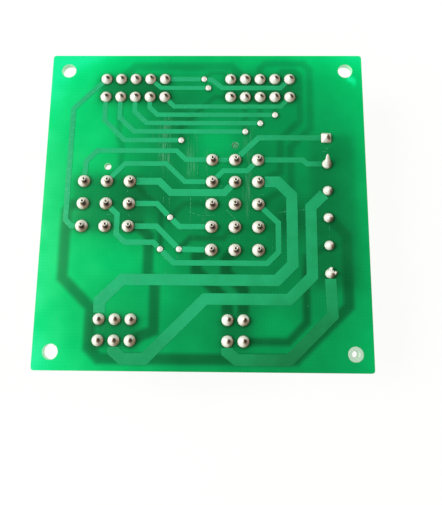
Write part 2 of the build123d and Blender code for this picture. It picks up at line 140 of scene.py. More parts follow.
def select_only(*objects: bpy.types.Object) -> None:
    """Selects these objects alone and makes the first one active.

    Args:
        objects: One object or more.
    """
    bpy.ops.object.select_all(action="DESELECT")
    for item in objects:
        item.select_set(True)
    bpy.context.view_layer.objects.active = objects[0]


@contextmanager
def editing(item: bpy.types.Object, mode: str = "FACE") -> Iterator[None]:
    """Opens an object in edit mode with nothing selected, and closes it again.

    Args:
        item: The mesh object to shape.
        mode: What is selected in it: VERT, EDGE or FACE.
    """
    select_only(item)
    bpy.ops.object.mode_set(mode="EDIT")
    bpy.ops.mesh.select_mode(type=mode)
    bpy.ops.mesh.select_all(action="DESELECT")
    try:
        yield
    finally:
        bpy.ops.object.mode_set(mode="OBJECT")


def pick_faces(item: bpy.types.Object, test: Callable[[bmesh.types.BMFace], bool]) -> None:
    """Selects the faces of the mesh in edit mode that pass a test, and no others.

    Args:
        item: The object in edit mode.
        test: Says of one face whether it is wanted.
    """
    bpy.ops.mesh.select_all(action="DESELECT")
    shape = bmesh.from_edit_mesh(item.data)
    for face in shape.faces:
        if test(face):
            face.select_set(True)
    shape.select_flush_mode()
    bmesh.update_edit_mesh(item.data)


def apply_modifier(item: bpy.types.Object, kind: str, **values: Any) -> None:
    """Adds a modifier with its values and applies it.

    Args:
        item: The object that gets it.
        kind: The modifier's type name.
        values: The modifier's own settings by name.
    """
    select_only(item)
    modifier = item.modifiers.new(kind.title(), kind)
    for key, value in values.items():
        setattr(modifier, key, value)
    bpy.ops.object.modifier_apply(modifier=modifier.name)


def round_edges(item: bpy.types.Object, width: float, angle: float) -> None:
    """Rounds the sharp edges of a piece.

    Args:
        item: The piece.
        width: The rounding's width in millimetres.
        angle: Edges that turn by more than this many degrees are rounded.
    """
    apply_modifier(
        item,
        "BEVEL",
        width=width * MM,
        segments=2,
        limit_method="ANGLE",
        angle_limit=math.radians(angle),
    )


def vertex_places(mesh: bpy.types.Mesh) -> np.ndarray:
    """Reads where the vertices of a mesh are.

    Args:
        mesh: The mesh.

    Returns:
        One row for each vertex, in metres.
    """
    places = np.empty(len(mesh.vertices) * 3, np.float32)
    mesh.vertices.foreach_get("co", places)
    return places.reshape(-1, 3).astype(float)


def write_attribute(mesh: bpy.types.Mesh, name: str, values: np.ndarray) -> None:
    """Writes one number for each vertex, which the finish reads by this name."""
    made = mesh.attributes.new(name, "FLOAT", "POINT")
    made.data.foreach_set("value", np.ascontiguousarray(values, np.float32))


def soft_step(values: np.ndarray | float, softness: float) -> np.ndarray:
    """A smooth step from 0 to 1 round zero, this soft in the units of the values."""
    return 1 / (1 + np.exp(-np.clip(np.asarray(values) / softness, -40, 40)))


def blurred_cover(distances: np.ndarray, blur: float) -> np.ndarray:
    """How far copper on the other face covers each place, from 0 to 1.

    Args:
        distances: Distances from the copper's rim in millimetres, below zero over it.
        blur: The width of the blurred rim in millimetres.

    Returns:
        A smooth share for each place.
    """
    share = np.clip(0.5 - distances / blur, 0, 1)
    return share * share * (3 - 2 * share)


def settle(
    item: bpy.types.Object,
    name: str,
    finish: bpy.types.Material,
    replaced: Sequence[str] = (),
    smooth_angle: float = 35.0,
    weighted: bool = False,
) -> None:
    """Names a finished piece, dresses it and lets it ride on the body.

    Args:
        item: The modelled piece.
        name: Its name in the table of pieces.
        finish: Its material.
        replaced: The CAD nodes that it stands for.
        smooth_angle: Edges flatter than this many degrees are shaded smooth.
        weighted: Whether large flat faces keep their own normals beside rounded edges.
    """
    select_only(item)
    bpy.ops.object.transform_apply(location=True, rotation=True, scale=True)
    bpy.ops.object.shade_smooth_by_angle(angle=math.radians(smooth_angle))
    if weighted:
        apply_modifier(item, "WEIGHTED_NORMAL", weight=100, keep_sharp=True)
    item.name = item.data.name = name
    if not item.data.materials:
        item.data.materials.append(finish)
    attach(item, BODY)
    if replaced:
        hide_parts(*replaced)
    LOG.info("%s: %d faces", name, len(item.data.polygons))


def copy_at(template: bpy.types.Object, matrix: Matrix) -> bpy.types.Object:
    """Copies a template together with its mesh.

    Args:
        template: The object to copy.
        matrix: What moves, turns or stretches the copy's vertices.

    Returns:
        The copy.
    """
    copy = template.copy()
    copy.data = template.data.copy()
    bpy.context.scene.collection.objects.link(copy)
    copy.data.transform(matrix)
    return copy


def join(parts: Sequence[bpy.types.Object]) -> bpy.types.Object:
    """Joins several objects into one.

    Args:
        parts: The objects, of which the first takes up the others.

    Returns:
        The first object.
    """
    select_only(*parts)
    bpy.ops.object.join()
    return parts[0]


def discard(*items: bpy.types.Object) -> None:
    """Removes templates that have been copied."""
    for item in items:
        bpy.data.objects.remove(item)


def merged_copy(node: bpy.types.Object, name: str) -> bpy.types.Object:
    """A copy of a CAD node as one closed mesh with its flat faces whole.

    Args:
        node: The CAD node, which stays as it is.
        name: The copy's name while it is worked on.

    Returns:
        The copy, at the origin.
    """
    copy = bpy.data.objects.new(name, node.data.copy())
    copy.data.materials.clear()
    bpy.context.scene.collection.objects.link(copy)
    with editing(copy, "VERT"):
        bpy.ops.mesh.select_all(action="SELECT")
        bpy.ops.mesh.remove_doubles(threshold=0.002 * MM)
        bpy.ops.mesh.dissolve_limited(angle_limit=math.radians(0.5))
        bpy.ops.mesh.customdata_custom_splitnormals_clear()
    return copy


def spun_profile(profile: Sequence[Point], sides: int, base: float = 0.0) -> bpy.types.Object:
    """A round solid made from a disc by extruding it upwards and scaling each new ring.

    Args:
        profile: Radius and height of each ring in millimetres, from the base to the tip.
        sides: Corners of each ring.
        base: The height of the origin plane in millimetres.

    Returns:
        The solid round the vertical axis, closed at both ends.
    """
    (radius, level), *rings = profile
    bpy.ops.mesh.primitive_circle_add(
        vertices=sides, radius=radius * MM, fill_type="NGON", location=(0, 0, 0)
    )
    item = bpy.context.object
    item.data.transform(Matrix.Translation((0, 0, (base + level) * MM)))
    with editing(item):
        bpy.ops.mesh.select_all(action="SELECT")
        for next_radius, next_level in rings:
            share = next_radius / radius
            bpy.ops.mesh.extrude_region_move(
                TRANSFORM_OT_translate={"value": (0, 0, (next_level - level) * MM)}
            )
            bpy.ops.transform.resize(
                value=(share, share, 1), center_override=(0, 0, (base + next_level) * MM)
            )
            radius, level = next_radius, next_level
        bpy.ops.mesh.select_all(action="SELECT")
        bpy.ops.mesh.normals_make_consistent(inside=False)
    return item


# Finishes


@dataclass(frozen=True)
class Finish:
    """What all finishes share: a material with one Principled shader and object coordinates."""

    name: str

    def start(self) -> tuple[bpy.types.Material, bpy.types.NodeTree, bpy.types.NodeSocket]:
        """Makes the empty material.

        Returns:
            The material, its node tree and the object coordinates' socket.
        """
        made = bpy.data.materials.new(self.name)
        made.use_nodes = True
        made.node_tree.nodes.clear()
        place = add_node(made.node_tree, "ShaderNodeTexCoord").outputs["Object"]
        return made, made.node_tree, place

    def close(
        self,
        tree: bpy.types.NodeTree,
        settings: dict[str | int, Any],
        links: dict[str | int, bpy.types.NodeSocket],
    ) -> None:
        """Adds the Principled shader with its constants and links, and the output."""
        shader = add_node(tree, "ShaderNodeBsdfPrincipled", settings, links)
        add_node(tree, "ShaderNodeOutputMaterial", links={"Surface": shader.outputs["BSDF"]})


@dataclass(frozen=True)
class LacqueredLaminate(Finish):
    """Glass-epoxy laminate under screened and UV-cured green solder lacquer. The light that comes
    through it is painted into its colour from the attribute glow, so it is brightest at its free
    edges and dark over copper and housings, and the glass cloth shows as a faint weave under a
    smooth gloss."""

    name: str = "glass_epoxy_green_lacquer_screened"
    weave_pitch: float = 0.9  # real cloth has 0.45 mm; drawn twice as coarse so that it shows
    cloud_size: float = 9.0
    streak_width: float = 0.35
    streak_length: float = 7.0
    stops: tuple[tuple[float, str], ...] = (
        (0.30, "#064a24"),
        (0.376, "#086030"),
        (0.443, "#0b713b"),
        (0.514, "#0a8346"),
        (0.584, "#08954f"),
        (0.659, "#07a85a"),
        (0.733, "#04bb63"),
        (0.835, "#02d574"),
        (0.882, "#02e17e"),
        (0.95, "#14f099"),
    )
    rubbed: str = "#8fd8b0"

    def make(self) -> bpy.types.Material:
        """Builds the material, which reads the attributes glow and rub.

        Returns:
            The material.
        """
        made, tree, place = self.start()
        glow = add_node(tree, "ShaderNodeAttribute", {"attribute_name": "glow"})
        rub = add_node(tree, "ShaderNodeAttribute", {"attribute_name": "rub"})
        cloud = add_node(
            tree,
            "ShaderNodeTexNoise",
            {"Scale": 1 / (self.cloud_size * MM), "Detail": 3.0, "Roughness": 0.55},
            {"Vector": place},
        )
        threads = [
            add_node(
                tree,
                "ShaderNodeTexWave",
                {
                    "bands_direction": way,
                    "Scale": WAVE_PERIOD / (self.weave_pitch * MM),
                    "Distortion": 0.6,
                    "Detail": 1.0,
                },
                {"Vector": place},
            ).outputs["Fac"]
            for way in ("X", "Y")
        ]
        weave = add_node(tree, "ShaderNodeMath", {"operation": "MULTIPLY"}, dict(enumerate(threads)))
        uneven = add_node(
            tree,
            "ShaderNodeMapRange",
            {"From Min": 0.25, "From Max": 0.75, "To Min": -0.028, "To Max": 0.028},
            {"Value": cloud.outputs["Fac"]},
        )
        woven = add_node(
            tree,
            "ShaderNodeMapRange",
            {"To Min": -0.006, "To Max": 0.012},
            {"Value": weave.outputs[0]},
        )
        level = add_node(
            tree,
            "ShaderNodeMath",
            {"operation": "ADD"},
            {0: glow.outputs["Fac"], 1: uneven.outputs[0]},
        )
        level = add_node(
            tree, "ShaderNodeMath", {"operation": "ADD"}, {0: level.outputs[0], 1: woven.outputs[0]}
        )
        green = add_node(
            tree,
            "ShaderNodeValToRGB",
            {"stops": [(at, linear_colour(code)) for at, code in self.stops]},
            {"Fac": level.outputs[0]},
        )
        stretched = add_node(
            tree,
            "ShaderNodeMapping",
            {
                "Scale": (
                    1 / (self.streak_width * MM),
                    1 / (self.streak_length * MM),
                    1 / (self.streak_length * MM),
                )
            },
            {"Vector": place},
        )
        streaks = add_node(
            tree,
            "ShaderNodeTexNoise",
            {"Scale": 1.0, "Detail": 2.0},
            {"Vector": stretched.outputs[0]},
        )
        fine = add_node(
            tree,
            "ShaderNodeMapRange",
            {"From Min": 0.48, "From Max": 0.72},
            {"Value": streaks.outputs["Fac"]},
        )
        amount = add_node(
            tree,
            "ShaderNodeMath",
            {"operation": "MULTIPLY"},
            {0: fine.outputs[0], 1: rub.outputs["Fac"]},
        )
        base = add_node(
            tree,
            "ShaderNodeMix",
            {"data_type": "RGBA", 7: linear_colour(self.rubbed)},
            {0: amount.outputs[0], 6: green.outputs["Color"]},
        )
        rough = add_node(
            tree,
            "ShaderNodeMapRange",
            {"From Min": 0.3, "From Max": 0.7, "To Min": 0.16, "To Max": 0.26},
            {"Value": cloud.outputs["Fac"]},
        )
        bump = add_node(
            tree,
            "ShaderNodeBump",
            {"Strength": 0.12, "Distance": 0.02 * MM},
            {"Height": weave.outputs[0]},
        )
        self.close(
            tree,
            {"IOR": 1.5, "Specular IOR Level": 0.3},
            {
                "Base Color": base.outputs[2],
                "Roughness": rough.outputs[0],
                "Normal": bump.outputs["Normal"],
            },
        )
        return made


@dataclass(frozen=True)
class SawnLaminate(Finish):
    """The bare glass-epoxy edge of the board and of its holes, sawn and drilled: pale straw green
    with thin layers. Its paleness and its faint emission are painted light, standing for the light
    that goes into the laminate."""

    name: str = "glass_epoxy_sawn_edge"
    layer: float = 0.2
    glow: float = 0.15
    pale: str = "#bfe8c8"
    dark: str = "#94cfa6"

    def make(self) -> bpy.types.Material:
        """Builds the layered edge.

        Returns:
            The material.
        """
        made, tree, place = self.start()
        layers = add_node(
            tree,
            "ShaderNodeTexWave",
            {
                "bands_direction": "Z",
                "Scale": WAVE_PERIOD / (self.layer * MM),
                "Distortion": 2.5,
                "Detail": 3.0,
                "Detail Scale": 2.0,
            },
            {"Vector": place},
        )
        base = add_node(
            tree,
            "ShaderNodeMix",
            {"data_type": "RGBA", 6: linear_colour(self.pale), 7: linear_colour(self.dark)},
            {0: layers.outputs["Fac"]},
        )
        bump = add_node(
            tree,
            "ShaderNodeBump",
            {"Strength": 0.3, "Distance": 0.02 * MM},
            {"Height": layers.outputs["Fac"]},
        )
        self.close(
            tree,
            {"Roughness": 0.62, "IOR": 1.5, "Emission Strength": self.glow},
            {
                "Base Color": base.outputs[2],
                "Emission Color": base.outputs[2],
                "Normal": bump.outputs["Normal"],
            },
        )
        return made


@dataclass(frozen=True)
class LacqueredCopper(Finish):
    """Etched copper foil under green solder lacquer: opaque, so a flatter and greyer green
    than the laminate, with a slight metal sheen and fine brushed unevenness."""

    name: str = "copper_foil_green_lacquer_etched"
    cloud_size: float = 5.0
    grain: float = 1.2
    stops: tuple[tuple[float, str], ...] = (
        (0.45, "#186a3c"),
        (0.55, "#1c8a4e"),
        (0.64, "#20a263"),
        (0.70, "#26b172"),
        (0.80, "#25c27c"),
    )

    def make(self) -> bpy.types.Material:
        """Builds the material, which reads the attribute glow, the tracks' painted light and shade.

        Returns:
            The material.
        """
        made, tree, place = self.start()
        glow = add_node(tree, "ShaderNodeAttribute", {"attribute_name": "glow"})
        cloud = add_node(
            tree,
            "ShaderNodeTexNoise",
            {"Scale": 1 / (self.cloud_size * MM), "Detail": 4.0},
            {"Vector": place},
        )
        uneven = add_node(
            tree,
            "ShaderNodeMapRange",
            {"From Min": 0.25, "From Max": 0.75, "To Min": -0.03, "To Max": 0.03},
            {"Value": cloud.outputs["Fac"]},
        )
        level = add_node(
            tree,
            "ShaderNodeMath",
            {"operation": "ADD"},
            {0: glow.outputs["Fac"], 1: uneven.outputs[0]},
        )
        green = add_node(
            tree,
            "ShaderNodeValToRGB",
            {"stops": [(at, linear_colour(code)) for at, code in self.stops]},
            {"Fac": level.outputs[0]},
        )
        grain = add_node(
            tree,
            "ShaderNodeTexNoise",
            {"Scale": 1 / (self.grain * MM), "Detail": 0.0},
            {"Vector": place},
        )
        rough = add_node(
            tree,
            "ShaderNodeMapRange",
            {"From Min": 0.3, "From Max": 0.7, "To Min": 0.22, "To Max": 0.28},
            {"Value": grain.outputs["Fac"]},
        )
        bump = add_node(
            tree,
            "ShaderNodeBump",
            {"Strength": 0.04, "Distance": 0.02 * MM},
            {"Height": grain.outputs["Fac"]},
        )
        self.close(
            tree,
            {"IOR": 1.5, "Specular IOR Level": 0.4},
            {
                "Base Color": green.outputs["Color"],
                "Roughness": rough.outputs[0],
                "Normal": bump.outputs["Normal"],
            },
        )
        return made


@dataclass(frozen=True)
class WaveSolder(Finish):
    """Tin-lead solder, drawn up by wave soldering: satin silver-white with a fine frosting, and brown
    flux left beside the pin tips, mixed with painted shade on each joint's side away from the light."""

    name: str = "tin_lead_wave_solder"
    frost: float = 0.35
    bright: str = "#fbfff2"
    dull: str = "#eeeadc"
    # The two browns below colour the painted shade on each joint's side away from the light, as well
    # as the flux
    thin_flux_and_shade: str = "#b39a86"
    flux: str = "#2c130b"

    def make(self) -> bpy.types.Material:
        """Builds the material, which reads the attribute flux, where the flux and painted shade lie.

        Returns:
            The material.
        """
        made, tree, place = self.start()
        flux = add_node(tree, "ShaderNodeAttribute", {"attribute_name": "flux"})
        frost = add_node(
            tree,
            "ShaderNodeTexNoise",
            {"Scale": 1 / (self.frost * MM), "Detail": 4.0, "Roughness": 0.6},
            {"Vector": place},
        )
        spread = add_node(
            tree,
            "ShaderNodeMapRange",
            {"From Min": 0.35, "From Max": 0.7},
            {"Value": frost.outputs["Fac"]},
        )
        tin = add_node(
            tree,
            "ShaderNodeMix",
            {"data_type": "RGBA", 6: linear_colour(self.bright), 7: linear_colour(self.dull)},
            {0: spread.outputs[0]},
        )
        # From clean tin through thin flux and painted shade to dark flux and painted shade
        film = [(0.0, "#ffffff"), (0.45, self.thin_flux_and_shade), (1.0, self.flux)]
        flux_and_shade_tint = add_node(
            tree,
            "ShaderNodeValToRGB",
            {"stops": [(at, linear_colour(code)) for at, code in film]},
            {"Fac": flux.outputs["Fac"]},
        )
        base = add_node(
            tree,
            "ShaderNodeMix",
            {"data_type": "RGBA", "blend_type": "MULTIPLY", 0: 1.0},
            {6: tin.outputs[2], 7: flux_and_shade_tint.outputs["Color"]},
        )
        rough = add_node(
            tree,
            "ShaderNodeMapRange",
            {"From Min": 0.3, "From Max": 0.7, "To Min": 0.36, "To Max": 0.52},
            {"Value": frost.outputs["Fac"]},
        )
        bump = add_node(
            tree,
            "ShaderNodeBump",
            {"Strength": 0.35, "Distance": 0.05 * MM},
            {"Height": frost.outputs["Fac"]},
        )
        self.close(
            tree,
            {"Metallic": 0.25},
            {
                "Base Color": base.outputs[2],
                "Roughness": rough.outputs[0],
                "Normal": bump.outputs["Normal"],
            },
        )
        return made


@dataclass(frozen=True)
class TinnedBrass(Finish):
    """Drawn brass pins with a bright electroplated tin coat: smooth grey-white metal with
    faint draw lines and a little brass showing through at worn spots."""

    name: str = "brass_tin_plated_drawn"
    line_width: float = 0.12
    line_length: float = 4.0
    tin: str = "#d5d2cb"
    brass: str = "#c9a765"

    def make(self) -> bpy.types.Material:
        """Builds the plated metal.

        Returns:
            The material.
        """
        made, tree, place = self.start()
        drawn = add_node(
            tree,
            "ShaderNodeMapping",
            {
                "Scale": (
                    1 / (self.line_width * MM),
                    1 / (self.line_width * MM),
                    1 / (self.line_length * MM),
                )
            },
            {"Vector": place},
        )
        lines = add_node(
            tree,
            "ShaderNodeTexNoise",
            {"Scale": 1.0, "Detail": 2.0},
            {"Vector": drawn.outputs[0]},
        )
        worn = add_node(
            tree,
            "ShaderNodeMapRange",
            {"From Min": 0.62, "From Max": 0.8, "To Max": 0.55},
            {"Value": lines.outputs["Fac"]},
        )
        base = add_node(
            tree,
            "ShaderNodeMix",
            {"data_type": "RGBA", 6: linear_colour(self.tin), 7: linear_colour(self.brass)},
            {0: worn.outputs[0]},
        )
        rough = add_node(
            tree,
            "ShaderNodeMapRange",
            {"From Min": 0.3, "From Max": 0.7, "To Min": 0.2, "To Max": 0.34},
            {"Value": lines.outputs["Fac"]},
        )
        self.close(
            tree,
            {"Metallic": 1.0},
            {"Base Color": base.outputs[2], "Roughness": rough.outputs[0]},
        )
        return made


@dataclass(frozen=True)
class MouldedNylon(Finish):
    """Injection-moulded natural nylon: milky off-white, waxy, light going a little way into
    it, with the fine grain of a spark-eroded mould."""

    name: str = "nylon_natural_moulded"
    grain: float = 0.25  # spark-eroded grain is about 0.05 mm; drawn coarser so that it shows
    cloud_size: float = 14.0
    pale: str = "#e0d9c6"
    shaded: str = "#d0c7ae"
    roughness: tuple[float, float] = (0.4, 0.55)
    depth: float = 1.2
    # A painted glow, given as emission
    glow: float = 0.0

    def make(self) -> bpy.types.Material:
        """Builds the milky plastic.

        Returns:
            The material.
        """
        made, tree, place = self.start()
        cloud = add_node(
            tree,
            "ShaderNodeTexNoise",
            {"Scale": 1 / (self.cloud_size * MM), "Detail": 2.0},
            {"Vector": place},
        )
        grain = add_node(
            tree,
            "ShaderNodeTexNoise",
            {"Scale": 1 / (self.grain * MM), "Detail": 3.0},
            {"Vector": place},
        )
        base = add_node(
            tree,
            "ShaderNodeMix",
            {"data_type": "RGBA", 6: linear_colour(self.pale), 7: linear_colour(self.shaded)},
            {0: cloud.outputs["Fac"]},
        )
        low, high = self.roughness
        rough = add_node(
            tree,
            "ShaderNodeMapRange",
            {"From Min": 0.3, "From Max": 0.7, "To Min": low, "To Max": high},
            {"Value": grain.outputs["Fac"]},
        )
        bump = add_node(
            tree,
            "ShaderNodeBump",
            {"Strength": 0.2, "Distance": 0.02 * MM},
            {"Height": grain.outputs["Fac"]},
        )
        self.close(
            tree,
            {
                "IOR": 1.53,
                "Subsurface Weight": 0.25,
                "Subsurface Scale": self.depth * MM,
                "Subsurface Radius": (1.0, 0.9, 0.7),
                "Emission Strength": self.glow,
            },
            {
                "Base Color": base.outputs[2],
                "Emission Color": base.outputs[2],
                "Roughness": rough.outputs[0],
                "Normal": bump.outputs["Normal"],
            },
        )
        return made


@dataclass(frozen=True)
class DriedFlux(Finish):
    """Flux that dried and lacquer that was scuffed: a thin matt film, so it catches the
    light as pale green streaks on the glossy green."""

    name: str = "dried_flux_scuffed_matt"
    grain: float = 0.5
    pale: str = "#46b481"
    deep: str = "#1a945c"

    def make(self) -> bpy.types.Material:
        """Builds the uneven pale film.

        Returns:
            The material.
        """
        made, tree, place = self.start()
        grain = add_node(
            tree,
            "ShaderNodeTexNoise",
            {"Scale": 1 / (self.grain * MM), "Detail": 2.0},
            {"Vector": place},
        )
        spread = add_node(
            tree,
            "ShaderNodeMapRange",
            {"From Min": 0.35, "From Max": 0.65},
            {"Value": grain.outputs["Fac"]},
        )
        base = add_node(
            tree,
            "ShaderNodeMix",
            {"data_type": "RGBA", 6: linear_colour(self.deep), 7: linear_colour(self.pale)},
            {0: spread.outputs[0]},
        )
        rough = add_node(
            tree,
            "ShaderNodeMapRange",
            {"To Min": 0.55, "To Max": 0.8},
            {"Value": grain.outputs["Fac"]},
        )
        self.close(
            tree,
            {"IOR": 1.5, "Specular IOR Level": 0.2},
            {"Base Color": base.outputs[2], "Roughness": rough.outputs[0]},
        )
        return made


@dataclass(frozen=True)
class LightTable(Finish):
    """The matt white table that the object lies over, lit from within."""

    name: str = "white_light_table"
    white: str = "#fafaf8"
    panel: str = "#5e5e5d"
    strength: float = 0.95
    cloud_size: float = 400.0

    def make(self) -> bpy.types.Material:
        """Builds the luminous matt white, which can be looked through from below.

        Returns:
            The material.
        """
        made, tree, place = self.start()
        cloud = add_node(
            tree,
            "ShaderNodeTexNoise",
            {"Scale": 1 / (self.cloud_size * MM), "Detail": 1.0},
            {"Vector": place},
        )
        rough = add_node(
            tree,
            "ShaderNodeMapRange",
            {"To Min": 0.75, "To Max": 0.9},
            {"Value": cloud.outputs["Fac"]},
        )
        panel = add_node(
            tree,
            "ShaderNodeBsdfPrincipled",
            {
                "Base Color": linear_colour(self.panel),
                "Emission Color": linear_colour(self.white),
                "Emission Strength": self.strength,
                "Specular IOR Level": 0.1,
            },
            {"Roughness": rough.outputs[0]},
        )
        clear = add_node(tree, "ShaderNodeBsdfTransparent")
        side = add_node(tree, "ShaderNodeNewGeometry").outputs["Backfacing"]
        sided = add_node(
            tree,
            "ShaderNodeMixShader",
            links={0: side, 1: panel.outputs[0], 2: clear.outputs[0]},
        )
        add_node(tree, "ShaderNodeOutputMaterial", links={"Surface": sided.outputs[0]})
        return made


# How much light comes through the laminate


@dataclass(frozen=True)
class EdgeGlow:
    """Light that enters at one free edge and fades across the board."""

    side: Point
    gain: float
    reach: float

    def at(self, places: np.ndarray, half_side: float) -> np.ndarray:
        """The light at these places.

        Args:
            places: X and Y of each place in millimetres.
            half_side: Half the board's side.

        Returns:
            One number for each place.
        """
        depth = half_side - places @ np.array(self.side)
        return self.gain * np.exp(-depth / self.reach)


@dataclass(frozen=True)
class LightPool:
    """A softly bounded patch that is lighter or darker than the rest."""

    x: float
    y: float
    gain: float
    reach_x: float
    reach_y: float

    def at(self, places: np.ndarray) -> np.ndarray:
        """The light that the patch adds.

        Args:
            places: X and Y of each place in millimetres.

        Returns:
            One number for each place.
        """
        across = (places[:, 0] - self.x) / self.reach_x
        along = (places[:, 1] - self.y) / self.reach_y
        return self.gain * np.exp(-(across**2 + along**2) / 2)


@dataclass(frozen=True)
class SoftBorder:
    """A straight soft border across the board, with a step in the light beyond it."""

    way: Point
    start: float
    softness: float
    step: float = 1.0

    def at(self, places: np.ndarray) -> np.ndarray:
        """The step at these places, from none before the border to all of it beyond."""
        return self.step * soft_step(places @ np.array(self.way) - self.start, self.softness)


@dataclass(frozen=True)
class HousingShade:
    """The part of the light that a housing below keeps from the laminate over it. The insets
    are from its box to the shade: left, right, lower and upper."""

    node: str
    depth: float
    insets: tuple[float, float, float, float]
    softness: float = 0.7

    def at(self, places: np.ndarray) -> np.ndarray:
        """The share of the light that the housing leaves.

        Args:
            places: X and Y of each place in millimetres.

        Returns:
            One number for each place.
        """
        low, high = (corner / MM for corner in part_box(self.node))
        left, right, lower, upper = self.insets
        cover = np.ones(len(places))
        for inside in (
            places[:, 0] - low.x - left,
            high.x - right - places[:, 0],
            places[:, 1] - low.y - lower,
            high.y - upper - places[:, 1],
        ):
            cover = cover * soft_step(inside, self.softness)
        return 1 - self.depth * cover


@dataclass(frozen=True)
class JointShade:
    """The soft dark ring that a solder joint and its pin leave in the laminate round them, a
    little to the lower right, away from the light."""

    depth: float = 0.34
    beyond: float = 0.2
    aside: Point = (0.22, -0.2)
    softness: float = 0.16

    def at(self, places: np.ndarray, joints: Sequence[Spot]) -> np.ndarray:
        """The share of the light that is left at these places.

        Args:
            places: X and Y of each place in millimetres.
            joints: X, Y and foot radius of each joint.

        Returns:
            One number for each place.
        """
        cover = np.zeros(len(places))
        for x, y, radius in joints:
            away = np.hypot(places[:, 0] - x - self.aside[0], places[:, 1] - y - self.aside[1])
            cover = np.maximum(cover, soft_step(radius + self.beyond - away, self.softness))
        return 1 - self.depth * cover


@dataclass
class FoilOutline:
    """The outline of one face's tracks, read from its CAD node."""

    node: bpy.types.Object
    over_within: float = 0.08  # a place this near to a flat, in millimetres, is over a track
    flats: BVHTree = field(init=False)
    walls: BVHTree = field(init=False)
    level: float = field(init=False)

    def __post_init__(self) -> None:
        """Sorts the node's triangles into flats and walls."""
        mesh = self.node.data
        places = [vertex.co.copy() for vertex in mesh.vertices]
        flats, walls = [], []
        for face in mesh.polygons:
            (flats if abs(face.normal.z) > 0.5 else walls).append(tuple(face.vertices))
        self.flats = BVHTree.FromPolygons(places, flats)
        self.walls = BVHTree.FromPolygons(places, walls)
        self.level = sum(place.z for place in places) / len(places)

    def distance(self, places: np.ndarray) -> np.ndarray:
        """How far each place is from the tracks' rim, seen from above.

        Args:
            places: X and Y of each place in millimetres.

        Returns:
            Distances in millimetres, below zero over a track.
        """
        result = np.empty(len(places))
        for index, (x, y) in enumerate(places):
            spot = Vector((x * MM, y * MM, self.level))
            rim = self.walls.find_nearest(spot)[3] / MM
            over = self.flats.find_nearest(spot)[3] < self.over_within * MM
            result[index] = -rim if over else rim
        return result


@dataclass
class Transmission:
    """The light seen through the laminate, from 0 for none to 1. Copper on the far face
    darkens it, and more so in the lower part of the board."""

    half_side: float
    joints: tuple[Spot, ...]
    base: float = 0.33
    glows: tuple[EdgeGlow, ...] = (
        EdgeGlow((-1, 0), 0.55, 40.0),
        EdgeGlow((1, 0), 0.21, 14.0),
        EdgeGlow((0, 1), 0.22, 8.5),
        EdgeGlow((0, -1), 0.09, 16.0),
    )
    pools: tuple[LightPool, ...] = (
        LightPool(38, 38, 0.13, 20, 30),
        LightPool(2, 18, 0.16, 5.5, 5.5),
        LightPool(36, -36, 0.04, 30, 7.5),
        LightPool(-20, -16, 0.11, 9, 4.5),
        LightPool(24, -4, -0.13, 4, 3.5),
        LightPool(-8, 25, -0.12, 5, 8),
        LightPool(-13, 1, -0.1, 5.5, 6),
        LightPool(-29, 19, 0.08, 5, 6),
        LightPool(-8, -25, 0.06, 7, 4),
        LightPool(20, -32, 0.07, 5, 4),
        LightPool(41.0, 37.1, 0.24, 0.7, 0.6),  # the smear by the upper right hole
        LightPool(42.1, 36.3, 0.16, 0.5, 0.9),  # its lower end
    )
    shades: tuple[HousingShade, ...] = (
        HousingShade("header_upper_left", 0.32, (0.7, 1.0, 0.2, 2.5)),
        HousingShade("header_upper_right", 0.29, (1.1, 0.9, 0.2, 2.5)),
        HousingShade("header_nine", 0.22, (2.0, 1.1, 2.2, 2.2)),
        HousingShade("header_edge", 0.16, (-2.0, 0.0, 0.0, 3.2)),
        HousingShade("header_lower_left", 0.25, (0.6, 0.6, 0.8, 1.0)),
        HousingShade("header_lower_right", 0.15, (0.6, 0.6, 0.8, 1.0)),
    )
    copper_depth: float = 0.13
    lower_copper_depth: float = 0.31
    lower_part: SoftBorder = SoftBorder((-0.28, -1), 10.0, 2.0)
    joint_shade: JointShade = JointShade()
    copper_blur: float = 1.5
    underside: float = 0.60
    underside_copper_depth: float = 0.16

    def soldered_face(self, places: np.ndarray, far_copper: FoilOutline) -> np.ndarray:
        """The light at places on the soldered face.

        Args:
            places: X and Y of each place in millimetres.
            far_copper: The tracks on the face below, which show as blurred dark bands.

        Returns:
            One number for each place.
        """
        light = np.full(len(places), self.base)
        for glow in self.glows:
            light += glow.at(places, self.half_side)
        for pool in self.pools:
            light += pool.at(places)
        for shade in self.shades:
            light *= shade.at(places)
        light *= self.joint_shade.at(places, self.joints)
        cover = blurred_cover(far_copper.distance(places), self.copper_blur)
        deeper = self.lower_copper_depth - self.copper_depth
        depth = self.copper_depth + deeper * self.lower_part.at(places)
        return light * (1 - depth * cover)

    def component_face(self, places: np.ndarray, far_copper: FoilOutline) -> np.ndarray:
        """The light at places on the component face, where it is even."""
        cover = blurred_cover(far_copper.distance(places), self.copper_blur)
        return self.underside * (1 - self.underside_copper_depth * cover)


@dataclass(frozen=True)
class TrackLight:
    """The light and shade painted on the tracks: a little brighter at the left edge and in the lower
    half, and darker towards the right edge, the lower edge and the corner between them."""

    base: float = 0.715
    half_side: float = 44.0
    left_edge: EdgeGlow = EdgeGlow((-1, 0), 0.036, 10.0)
    borders: tuple[SoftBorder, ...] = (
        SoftBorder((1, 0), 16.0, 6.0, -0.08),
        SoftBorder((0, -1), 34.0, 3.0, -0.11),
        SoftBorder((0, -1), -4.0, 8.0, 0.013),
    )
    corner: tuple[SoftBorder, SoftBorder] = (
        SoftBorder((1, 0), 16.0, 6.0, -0.09),
        SoftBorder((0, -1), 28.0, 4.0),
    )

    def at(self, places: np.ndarray) -> np.ndarray:
        """The tracks' brightness.

        Args:
            places: X and Y of each place in millimetres.

        Returns:
            One number for each place.
        """
        light = self.base + self.left_edge.at(places, self.half_side)
        for border in self.borders:
            light = light + border.at(places)
        right, lower = self.corner
        return light + right.at(places) * lower.at(places)


